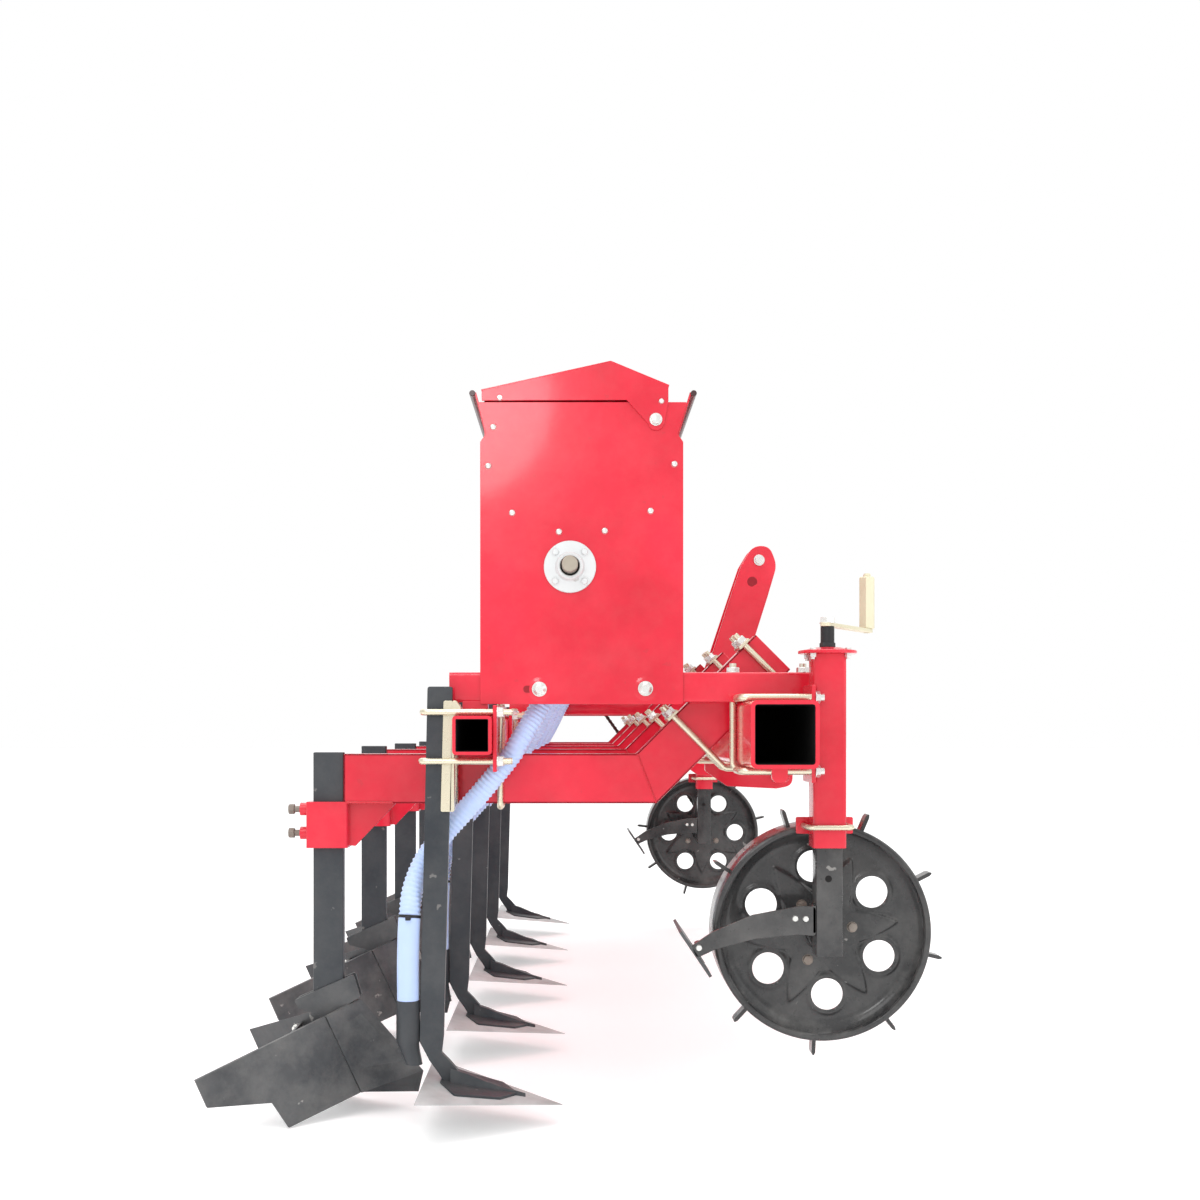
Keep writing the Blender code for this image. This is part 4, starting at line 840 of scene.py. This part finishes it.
# ------------------------------------------------------------------ hopper lid
# A folded roof over the hopper, its end plates reaching down outside the panels to a pivot bolt in front.
# Sheet steel in red enamel with a turned-down rear eave; it lifts at the back.
shape = bmesh.new()
roof = folded(soft_line([(0.14, 1.1545), (0.048, 1.1926), (-0.1555, 1.1475)], 0.006), 0.002)
plate(shape, roof, -panel_inner - 0.0066, panel_inner + 0.0066)
ear = rounded([(-0.1545, 1.13, 0.002), (0.073, 1.131, 0.004), (0.106, 1.0945, 0.006), (0.111, 1.0848, 0.01),
               (0.1265, 1.0835, 0.012), (0.1325, 1.095, 0.01), (0.1385, 1.13, 0.01), (0.1385, 1.1545, 0.001),
               (0.048, 1.1918, 0.001), (-0.1545, 1.1465, 0.001)], 0.002, 5)
for side in (-1, 1):
    plate(shape, ear, side * (panel_inner + sheet + 0.0003), side * (panel_inner + 0.0063))
finished("lid_roof", shape, red_enamel, "hopper_lid", "lid", edge=0.0005)
shape = bmesh.new()
for side in (-1, 1):
    outer = side * (panel_inner + 0.0063)
    washer(shape, (0.1187, outer, 1.1002), Y * side, 0.01)
    nut(shape, (0.1187, outer + side * 0.0018, 1.1002), Y * side, 0.0145, 0.006, turn=0.3)
    for x, z in ((-0.126, 1.1345), (0.1275, 1.129)):
        pin(shape, (x, z), outer - side * 0.001, outer + side * 0.0026, 0.005, 24, end_radius=0.0034)
finished("lid_pivot_bolts", shape, bright_nut, body="lid", edge=0.0003)

# ------------------------------------------------------------------ feed shaft and its bearing
# The steel shaft under the trough that turns a feed roll in each housing, driven by a sprocket at the left.
# Ground bar in a light grey cast flange bearing on the right panel, held by four small bolts.
shaft_x, shaft_z = -0.016, 0.8695
cast_grey = weathered("cast_grey", (0.7, 0.72, 0.73), (0.6, 0.62, 0.62), (0.4, 0.37, 0.32), (0.25, 0.2, 0.16),
                      140.0, 0.25, 0.35, 0.42, 0.7, 0.35, metal=0.15)
shape = bmesh.new()
pin(shape, (shaft_x, shaft_z), -1.0295, 1.1615, 0.0125, 40)
shaft_steel = weathered("turned_shaft", (0.4, 0.36, 0.3), (0.3, 0.26, 0.21), (0.4, 0.34, 0.28),
                        (0.22, 0.14, 0.08), 150.0, 0.3, 0.5, 0.28, 0.5, 0.2, metal=0.75)
finished("shaft_bar", shape, shaft_steel, "feed_shaft", "feed_drive", edge=0.0012)


def sprocket(shape, centre, pitch_radius, teeth, width, bore, phase=0.0):
    """A chain wheel: hooked gaps that hold the rollers, and pointed teeth between them."""
    ring = []
    for i in range(teeth):
        for share, size in ((-0.5, -0.0058), (-0.34, -0.0054), (-0.2, -0.004), (-0.08, -0.0028),
                            (0.08, -0.0028), (0.2, -0.004), (0.34, -0.0054)):
            angle = phase + 2 * math.pi * (i + share) / teeth
            ring.append((angle, pitch_radius + size))
    inner = [(angle, bore) for angle, _ in ring]
    levels = ((ring, -width / 2), (ring, width / 2), (inner, width / 2), (inner, -width / 2))
    loft(shape, [[(centre[0] + size * math.cos(a), centre[1] + y, centre[2] + size * math.sin(a))
                  for a, size in loop] for loop, y in levels], closed=True)


chain_y, wheel_x, axle_z = 1.15, 0.378, 0.298
black_iron = weathered("black_iron", (0.03, 0.031, 0.033), (0.05, 0.05, 0.052), (0.24, 0.22, 0.19),
                       (0.22, 0.21, 0.2), 130.0, 0.3, 0.4, 0.32, 0.58, 0.25, metal=0.5)
shape = bmesh.new()
sprocket(shape, (shaft_x, chain_y, shaft_z), 0.0406, 20, 0.0042, 0.0126)
pin(shape, (shaft_x, shaft_z), chain_y - 0.016, chain_y + 0.008, 0.02, 36)
finished("shaft_sprocket", shape, black_iron, body="feed_drive", edge=0.0005)

near = -panel_inner - sheet
shape = bmesh.new()
lathe(shape, Vector((shaft_x, near - 0.0003, shaft_z)), (
    (0.041, 0.0), (0.041, 0.0028), (0.04, 0.0038), (0.027, 0.0046), (0.0235, 0.006), (0.0218, 0.009),
    (0.0212, 0.0162), (0.02, 0.0178), (0.016, 0.0178), (0.015, 0.015), (0.013, 0.015), (0.013, 0.0)), 64, -Y)
for place in circle(Vector((shaft_x, near - 0.003, shaft_z)), 0.0325, 4, X, Z, math.pi / 4):
    rod(shape, place, place - Y * 0.0022, 0.0074, 24)
    rod(shape, place - Y * 0.002, place - Y * 0.0052, 0.006, 24, end_radius=0.0042)
finished("bearing_flange", shape, cast_grey, "feed_bearing", edge=0.0004)
# A thin near-black ring in the groove round the shaft, painted shade for the groove's shadow.
shape = bmesh.new()
pin(shape, (shaft_x, shaft_z), near - 0.0148, near - 0.0156, 0.0163, 48)
finished("bearing_groove_shade", shape, painted_shade_black)

# ------------------------------------------------------------------ drive chain
# A roller chain that carries the left wheel's turning up to the feed shaft, beside the left leg.
# Blued steel side plates on pins and rollers, dark with oil.
oiled = weathered("oiled_chain", (0.085, 0.08, 0.076), (0.05, 0.046, 0.042), (0.16, 0.13, 0.1),
                  (0.1, 0.06, 0.03), 180.0, 0.3, 0.25, 0.28, 0.5, 0.15, metal=0.85)
top, low = Vector((shaft_x, chain_y, shaft_z)), Vector((wheel_x, chain_y, axle_z))
top_radius, low_radius = 0.0406, 0.0305
line = low - top
lean = math.atan2(line.z, line.x)
spread = math.acos((top_radius - low_radius) / line.length)
loop = []
for centre, radius, start, end in ((top, top_radius, lean + spread, lean + 2 * math.pi - spread),
                                   (low, low_radius, lean - spread, lean + spread)):
    loop += [centre + Vector((math.cos(a), 0, math.sin(a))) * radius
             for a in (start + (end - start) * i / 60 for i in range(61))]
around = sum((b - a).length for a, b in zip(loop, [*loop[1:], loop[0]]))
links = 2 * round(around / 0.0127 / 2)
pins = even_path([*loop, loop[0]], around / links)[:links]
waist = [(-0.0056, 0), (-0.0039, 0.0039), (0, 0.0056), (0.004, 0.0042), (0.0087, 0.0042), (0.0127, 0.0056),
         (0.0166, 0.0039), (0.0183, 0), (0.0166, -0.0039), (0.0127, -0.0056), (0.0087, -0.0042),
         (0.004, -0.0042), (0, -0.0056), (-0.0039, -0.0039)]
shape, rollers = bmesh.new(), bmesh.new()
for i, start in enumerate(pins):
    end = pins[(i + 1) % links]
    run = (end - start).normalized()
    up = Vector((-run.z, 0, run.x))
    outer = 0.0046 if i % 2 else 0.0031
    for side in (-1, 1):
        loft(shape, [[start + run * a + up * b + Y * y for a, b in waist]
                     for y in sorted((side * outer, side * (outer + 0.0012)))])
    rod(rollers, start - Y * 0.0031, start + Y * 0.0031, 0.0024, 14)
    for side in (-1, 1):
        rod(shape, start + Y * side * 0.0031, start + Y * side * 0.006, 0.002, 10)
plates = finished("chain_plates", shape, oiled, "drive_chain", "", crease=40)
rollers = finished("chain_rollers", rollers, oiled, body="")
for piece in (plates, rollers):
    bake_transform(piece)

# ------------------------------------------------------------------ hopper rails
# Two bars that carry the hopper's end panels, clamped to the front beam and set on the toolbar.
# Hollow bar, 47 by 24 mm, in red enamel; the right one has a long U-bolt and the left one two bolts.
rail_top = 0.7045
for side, front in ((-1, 0.365), (1, 0.345)):
    name = "right" if side < 0 else "left"
    y = side * 0.9675
    shape, nuts = bmesh.new(), bmesh.new()
    outer = rectangle(y - 0.0122, 0.6573, y + 0.0122, rail_top, 0.005, 5)
    inner = rectangle(y - 0.0092, 0.6603, y + 0.0092, rail_top - 0.003, 0.003, 5)
    hollow_bar(shape, outer, inner, -0.206, front, lambda *point: point)
    block(shape, (-0.185, y - 0.012, 0.6356), (-0.145, y + 0.012, 0.6593))
    finished(f"rail_{name}_bar", shape, red_enamel, f"hopper_rail_{name}", edge=0.0007)
    shape = bmesh.new()
    if side < 0:
        bent(shape, [(0.2417, y, 0.718), (0.2417, y, 0.5517), (0.3523, y, 0.5517), (0.3523, y, 0.718)],
             0.0055, 0.014, 20, 8)
        for x in (0.2417, 0.3523):
            nut(nuts, (x, y, 0.704), Z, 0.0185, 0.0085, bore=0.0055, turn=0.4 * x)
            washer(nuts, (x, y, 0.704), Z, 0.0105, 0.0016)
    else:
        for x in (0.267, 0.327):
            washer(nuts, (x, y, 0.7044), Z, 0.011, 0.0016)
            nut(nuts, (x, y, 0.7052), Z, 0.0185, 0.0075, turn=x * 9)
        rod(shape, (0.267, y, 0.656), (0.267, y, 0.7), 0.005, 16)
    finished(f"rail_{name}_bolt", shape, zinc)
    finished(f"rail_{name}_nuts", nuts, bright_nut, edge=0.0004)

# ------------------------------------------------------------------ leg sleeves
# The square sleeves that hold the wheel legs, each on a plate U-bolted to the front beam.
# Welded from hollow bar and red-enamelled, with a turned cap on top and a small U-bolt as a lock below.
legs = (("right", -1.04), ("left", 1.02))
sleeve_bottom, sleeve_top, plate_face = 0.4345, 0.7297, 0.3533
bolt_reach, lock_z = 0.034, 0.466
for name, leg_y in legs:
    shape, bolts, nuts = bmesh.new(), bmesh.new(), bmesh.new()
    outer, inner = (rectangle(wheel_x - half, leg_y - half, wheel_x + half, leg_y + half, radius, 6)
                    for half, radius in ((0.025, 0.0065), (0.0205, 0.003)))
    hollow_bar(shape, outer, inner, sleeve_bottom, sleeve_top)
    finished(f"sleeve_{name}_tube", shape, red_enamel, f"leg_sleeve_{name}", edge=0.0006)
    shape = bmesh.new()
    face = rectangle(leg_y - 0.041, 0.534, leg_y + 0.041, 0.682, 0.004, 4)
    loft(shape, [[(x, a, b) for a, b in face] for x in (plate_face - 0.006, plate_face)])
    plate(shape, rectangle(0.334, 0.453, 0.422, 0.479, 0.003, 4), leg_y + 0.0242, leg_y + 0.0305)
    finished(f"sleeve_{name}_plates", shape, red_enamel, edge=0.0009)
    shape = bmesh.new()
    lathe(shape, Vector((wheel_x, leg_y, sleeve_top)), (
        (0.01, 0.0), (0.0435, 0.0), (0.0445, 0.001), (0.0445, 0.004), (0.0435, 0.005), (0.036, 0.0056),
        (0.03, 0.0075), (0.021, 0.0097), (0.01, 0.0103)), 72)
    finished(f"sleeve_{name}_cap", shape, red_enamel)
    near, far = leg_y - bolt_reach, leg_y + bolt_reach
    for z in (0.6625, 0.5515):
        bent(bolts, [(0.3605, near, z), (0.2417, near, z), (0.2417, far, z), (0.3605, far, z)],
             0.0055, 0.012, 20, 8)
        for rod_y, turn in ((near, -1.02), (far, 1.02)):
            washer(nuts, (plate_face, rod_y, z), X, 0.01, 0.0014)
            nut(nuts, (plate_face + 0.0007, rod_y, z), X, 0.0165, 0.0068, bore=0.0055, turn=turn)
    near, far = leg_y - 0.029, leg_y + 0.036
    bent(bolts, [(0.3445, far, lock_z), (0.3445, near, lock_z), (0.4115, near, lock_z),
                 (0.4115, far, lock_z)], 0.004, 0.01, 16, 8)
    for x in (0.3445, 0.4115):
        nut(nuts, (x, leg_y + 0.03, lock_z), Y, 0.0125, 0.0055, bore=0.004, turn=x * 11)
    places = circle(Vector((wheel_x, leg_y, 0.7347)), 0.0375, 4, phase=0.785)
    for turn, place in zip((0.0, 1.5708, 3.1416, 4.7124), places):
        nut(nuts, place, Z, 0.0085, 0.0032, turn=turn)
        nut(nuts, place - Z * 0.005, -Z, 0.0085, 0.006, bore=0.003, turn=turn)
    finished(f"sleeve_{name}_bolts", bolts, zinc)
    finished(f"sleeve_{name}_nuts", nuts, bright_nut, edge=0.0003)

# ------------------------------------------------------------------ wheel legs
# Square bars that slide in the sleeves and carry the wheels on short axles at their feet.
# 40 mm hollow bar dipped in blue-black paint, with ground axle stubs and turned collars.
black_paint = weathered("black_paint", (0.014, 0.015, 0.016), (0.042, 0.042, 0.043), (0.36, 0.35, 0.33),
                        (0.42, 0.41, 0.39), 60.0, 0.5, 0.45, 0.2, 0.5, 0.4, gloss=0.35)
for name, leg_y, reach in (("right", -1.04, 0.106), ("left", 1.02, 0.14)):
    body = f"leg_{name}"
    shape = bmesh.new()
    outer, inner = (rectangle(wheel_x - half, leg_y - half, wheel_x + half, leg_y + half, radius, 5)
                    for half, radius in ((0.02, 0.0035), (0.016, 0.0015)))
    hollow_bar(shape, outer, inner, 0.27, 0.69)
    finished(f"leg_{name}_bar", shape, black_paint, f"wheel_leg_{name}", body, edge=0.0006)
    # Two thin near-black discs on the leg's face, painted shade standing in for its holes.
    shape = bmesh.new()
    pin(shape, (0.376, 0.388), leg_y - 0.0202, leg_y - 0.019, 0.0052, 24)
    pin(shape, (0.376, 0.668), leg_y - 0.0202, leg_y - 0.019, 0.004, 24)
    finished(f"leg_{name}_hole", shape, painted_shade_black, body=body)
    shape = bmesh.new()
    pin(shape, (wheel_x, axle_z), leg_y + 0.01, leg_y + reach, 0.0122, 36)
    pin(shape, (wheel_x, axle_z), leg_y + 0.018, leg_y + 0.025, 0.018, 36)
    finished(f"axle_{name}", shape, bare_steel, body=body, edge=0.0006)

# ------------------------------------------------------------------ scrapers
# A bent arm bolted to each leg that holds a slotted blade just off the wheel's rim, to shave off soil.
# Flame-cut plate in black paint gone dusty, with bright round-topped bolts.
lug_clearance = 0.2035
for name, leg_y in legs:
    body = f"leg_{name}"
    shape, bolts = bmesh.new(), bmesh.new()
    arm = rounded([(0.3577, 0.301), (0.3577, 0.346), (0.33, 0.346), (0.262, 0.333), (0.2, 0.307),
                   (0.168, 0.285), (0.176, 0.267), (0.206, 0.281), (0.266, 0.297), (0.33, 0.303)], 0.006, 5)
    plate(shape, arm, leg_y - 0.018, leg_y - 0.012)
    finished(f"scraper_{name}_arm", shape, black_paint, f"wheel_scraper_{name}", body, edge=0.0009)
    shape = bmesh.new()
    block(shape, (0.3525, leg_y - 0.018, 0.305), (0.3577, leg_y + 0.016, 0.347))
    finished(f"scraper_{name}_foot", shape, black_paint, body=body, edge=0.0009)
    shape = bmesh.new()
    front, back = Vector((0.152, 0, 0.307)), Vector((0.198, 0, 0.239))
    run = (back - front).normalized()
    thick = Vector((-run.z, 0, run.x)) * 0.0024
    axle = Vector((wheel_x, 0, axle_z))
    cut = [front + (back - front) * t for t in (i / 24 for i in range(25))]
    for y_low, y_high, slotted in ((-0.018, 0.06, False), (0.06, 0.099, True), (0.099, 0.121, False)):
        keep = [p for p in cut if not slotted or (p - axle).length > lug_clearance]
        corners = (keep[0] + thick, keep[-1] + thick, keep[-1] - thick, keep[0] - thick)
        loft(shape, [[(p.x, leg_y + y, p.z) for p in corners] for y in (y_low, y_high)])
    finished(f"scraper_{name}_blade", shape, scoured, body=body, edge=0.0006)
    for x, z in ((0.342, 0.327), (0.326, 0.3275), (0.18, 0.283)):
        pin(bolts, (x, z), leg_y - 0.0175, leg_y - 0.02, 0.0052, 24, end_radius=0.004)
    finished(f"scraper_{name}_bolts", bolts, bright_nut, body=body)

# ------------------------------------------------------------------ ground wheels
# Steel wheels that set the depth and drive the feed: rolled rim, pressed disc with a star, nine rim lugs.
# Pressed and welded sheet in black paint gone dull with dust, the disc bolted to a turned hub.
lug_count = 9
for name, leg_y, hole_phase, lug_phase in (("right", -1.04, 36.3, 27.0), ("left", 1.02, 0.0, 14.0)):
    body, disc = f"wheel_{name}", leg_y + 0.068
    hub = Vector((wheel_x, disc, axle_z))

    def turned(radius, angle, y):
        """A point on the wheel, by its distance and angle round the axle."""
        return Vector((wheel_x + radius * math.cos(angle), y, axle_z + radius * math.sin(angle)))

    shape = bmesh.new()
    profile = ((0.17, -0.0235), (0.17, 0.05), (0.169, 0.052), (0.1672, 0.052), (0.1664, 0.05),
               (0.1664, -0.012), (0.163, -0.015), (0.1596, -0.0195), (0.1592, -0.0232), (0.161, -0.0262),
               (0.164, -0.0274), (0.1675, -0.0268), (0.1694, -0.0255))
    lathe(shape, hub, profile, 144, Y)
    finished(f"wheel_{name}_rim", shape, black_paint, f"ground_wheel_{name}", body, edge=0.0003)

    shape = bmesh.new()
    holes = [math.radians(hole_phase) + i * math.pi / 3 for i in range(6)]
    grid_rings = [0.026 + (0.1668 - 0.026) * i / 56 for i in range(57)]
    grid_turns, hole_circle, hole_radius = 240, 0.1015, 0.025

    def from_hole(radius, angle):
        """The nearest hole's angle, the angle away from it, and the place as seen from its centre."""
        hole = min(holes, key=lambda h: abs(math.remainder(angle - h, 2 * math.pi)))
        away = math.remainder(angle - hole, 2 * math.pi)
        return hole, away, radius * math.cos(away) - hole_circle, radius * math.sin(away)

    def relief(radius, angle):
        """How far the pressing stands out at a place: hole lips, star, ridge and dished edge."""
        _, away, outward, sideways = from_hole(radius, angle)
        lip = 0.003 * math.exp(-((math.hypot(outward, sideways) - 0.029) / 0.0036) ** 2)
        star = 0.056 + 0.066 * (abs(away) / (math.pi / 6)) ** 1.6
        step = 0.0052 / (1 + math.exp((radius - star) / 0.0016))
        ridge = 0.002 * math.exp(-((radius - star) / 0.003) ** 2)
        dish = 0.019 * max(0.0, (radius - 0.139) / 0.0275) ** 2.0
        return lip + step + ridge + dish

    front, rear = {}, {}
    for i, ring_radius in enumerate(grid_rings):
        for j in range(grid_turns):
            radius, angle = ring_radius, 2 * math.pi * j / grid_turns
            hole, _, outward, sideways = from_hole(radius, angle)
            off = math.hypot(outward, sideways)
            if off <= 0.0205:
                continue
            if off < 0.0262:
                outward, sideways = outward * hole_radius / off, sideways * hole_radius / off
                radius = math.hypot(hole_circle + outward, sideways)
                angle = hole + math.atan2(sideways, hole_circle + outward)
            lifted = relief(radius, angle)
            front[i, j] = shape.verts.new(turned(radius, angle, disc - 0.0015 - lifted))
            rear[i, j] = shape.verts.new(turned(radius, angle, disc + 0.0015 - lifted))
    for i in range(len(grid_rings) - 1):
        for j in range(grid_turns):
            keys = [(i, j), (i + 1, j), (i + 1, (j + 1) % grid_turns), (i, (j + 1) % grid_turns)]
            present = [key for key in keys if key in front]
            if len(present) > 2:
                shape.faces.new([front[key] for key in present])
                shape.faces.new([rear[key] for key in reversed(present)])
    rims = [edge for edge in shape.edges if len(edge.link_faces) == 1]
    partner = {front[key]: rear[key] for key in front}
    for edge in rims:
        a, b = edge.verts
        if a in partner and b in partner:
            shape.faces.new((a, b, partner[b], partner[a]))
    bmesh.ops.recalc_face_normals(shape, faces=shape.faces)
    finished(f"wheel_{name}_disc", shape, black_paint, body=body, crease=60)

    shape, bolts = bmesh.new(), bmesh.new()
    profile = [(0.013, -0.04), (0.0245, -0.04), (0.026, -0.0385), (0.026, -0.012), (0.03, -0.0085),
               (0.064, -0.0062), (0.064, -0.004), (0.026, -0.004), (0.026, 0.0315), (0.0245, 0.033),
               (0.013, 0.033)]
    lathe(shape, hub, profile, 72, Y)
    finished(f"wheel_{name}_hub", shape, black_paint, body=body, edge=0.0004)
    for turn in (-30, 90, 210):
        place = turned(0.05, math.radians(hole_phase + turn), disc - 0.0066)
        rod(bolts, place + Y * 0.0006, place - Y * 0.0012, 0.0085, 24)
        nut(bolts, place - Y * 0.001, -Y, 0.013, 0.0055, turn=turn)
    finished(f"wheel_{name}_bolts", bolts, rusty, body=body, edge=0.0003)

    shape = bmesh.new()
    for i in range(lug_count):
        angle = math.radians(lug_phase + 360 / lug_count * i)
        along_rim = Vector((-math.sin(angle), 0, math.cos(angle)))
        ring = [turned(r, angle, 0) + along_rim * t for r, t in
                ((0.1685, -0.003), (0.193, -0.003), (0.1978, -0.0012), (0.1978, 0.0012), (0.193, 0.003),
                 (0.1685, 0.003))]
        loft(shape, [[Vector((p.x, y, p.z)) for p in ring] for y in (leg_y + 0.066, leg_y + 0.093)])
    finished(f"wheel_{name}_lugs", shape, black_paint, body=body, edge=0.0008)

shape = bmesh.new()
sprocket(shape, (wheel_x, chain_y, axle_z), 0.0305, 15, 0.0042, 0.013)
pin(shape, (wheel_x, axle_z), 1.118, 1.1565, 0.0195, 36)
finished("wheel_sprocket", shape, black_iron, body="wheel_left", edge=0.0005)

# ------------------------------------------------------------------ depth cranks
# Hand cranks whose long screws raise or lower the wheel legs: a flat lever and an upright hex grip.
# Zinc-plated screw and nuts, a dark neck, and a lever in yellow passivate; the grip is a sleeve on its pin.
cream_zinc = weathered("yellow_zinc", (0.72, 0.68, 0.5), (0.6, 0.56, 0.4), (0.45, 0.38, 0.26),
                       (0.35, 0.24, 0.14), 70.0, 0.22, 0.25, 0.34, 0.58, 0.2, metal=0.35)
thread = ((0.0068, 0.0), (0.0075, 0.0012), (0.0075, 0.0018), (0.0068, 0.003))
thread_turns = 42
lever_low, lever_top = 0.7716, 0.7774
for name, leg_y in legs:
    body = f"crank_{name}"
    run = Vector((0.55, 0.83, 0)).normalized()
    side = Vector((-run.y, run.x, 0))
    root = Vector((wheel_x, leg_y, 0))
    shape = bmesh.new()
    rod(shape, root + Z * 0.6, root + Z * 0.7845, 0.0068, 24)
    for i in range(thread_turns):
        lathe(shape, root + Z * (0.603 + 0.003 * i), thread, 24, closed=False)
    finished(f"crank_{name}_screw", shape, zinc, f"depth_crank_{name}", body, edge=0.0003)
    shape = bmesh.new()
    nut(shape, root + Z * 0.7776, Z, 0.0208, 0.0084, turn=0.8)
    rod(shape, root + Z * 0.7764, root + Z * 0.7778, 0.0125, 32)
    finished(f"crank_{name}_nuts", shape, bright_nut, body=body, edge=0.0005)
    shape = bmesh.new()
    nut(shape, root + Z * 0.7402, Z, 0.021, 0.007, turn=0.3)
    rod(shape, root + Z * 0.747, root + Z * 0.7718, 0.0105, 36)
    finished(f"crank_{name}_neck", shape, black_iron, body=body, edge=0.0006)
    shape = bmesh.new()
    ring = rectangle(-0.014, -0.008, 0.17, 0.008, 0.0075, 8)
    loft(shape, [[root + run * a + side * b + Z * z for a, b in ring] for z in (lever_low, lever_top)])
    finished(f"crank_{name}_lever", shape, cream_zinc, body=body, edge=0.0007)
    shape = bmesh.new()
    grip = root + run * 0.16
    rod(shape, grip + Z * 0.7708, grip + Z * 0.8675, 0.005, 24)
    lathe(shape, grip, ((0.0118, 0.7776), (0.0132, 0.7794), (0.0132, 0.8602), (0.0118, 0.862)), 6,
          closed=False, phase=0.2)
    nut(shape, grip + Z * 0.862, Z, 0.011, 0.0042)
    finished(f"crank_{name}_grip", shape, cream_zinc, body=body, edge=0.0008)
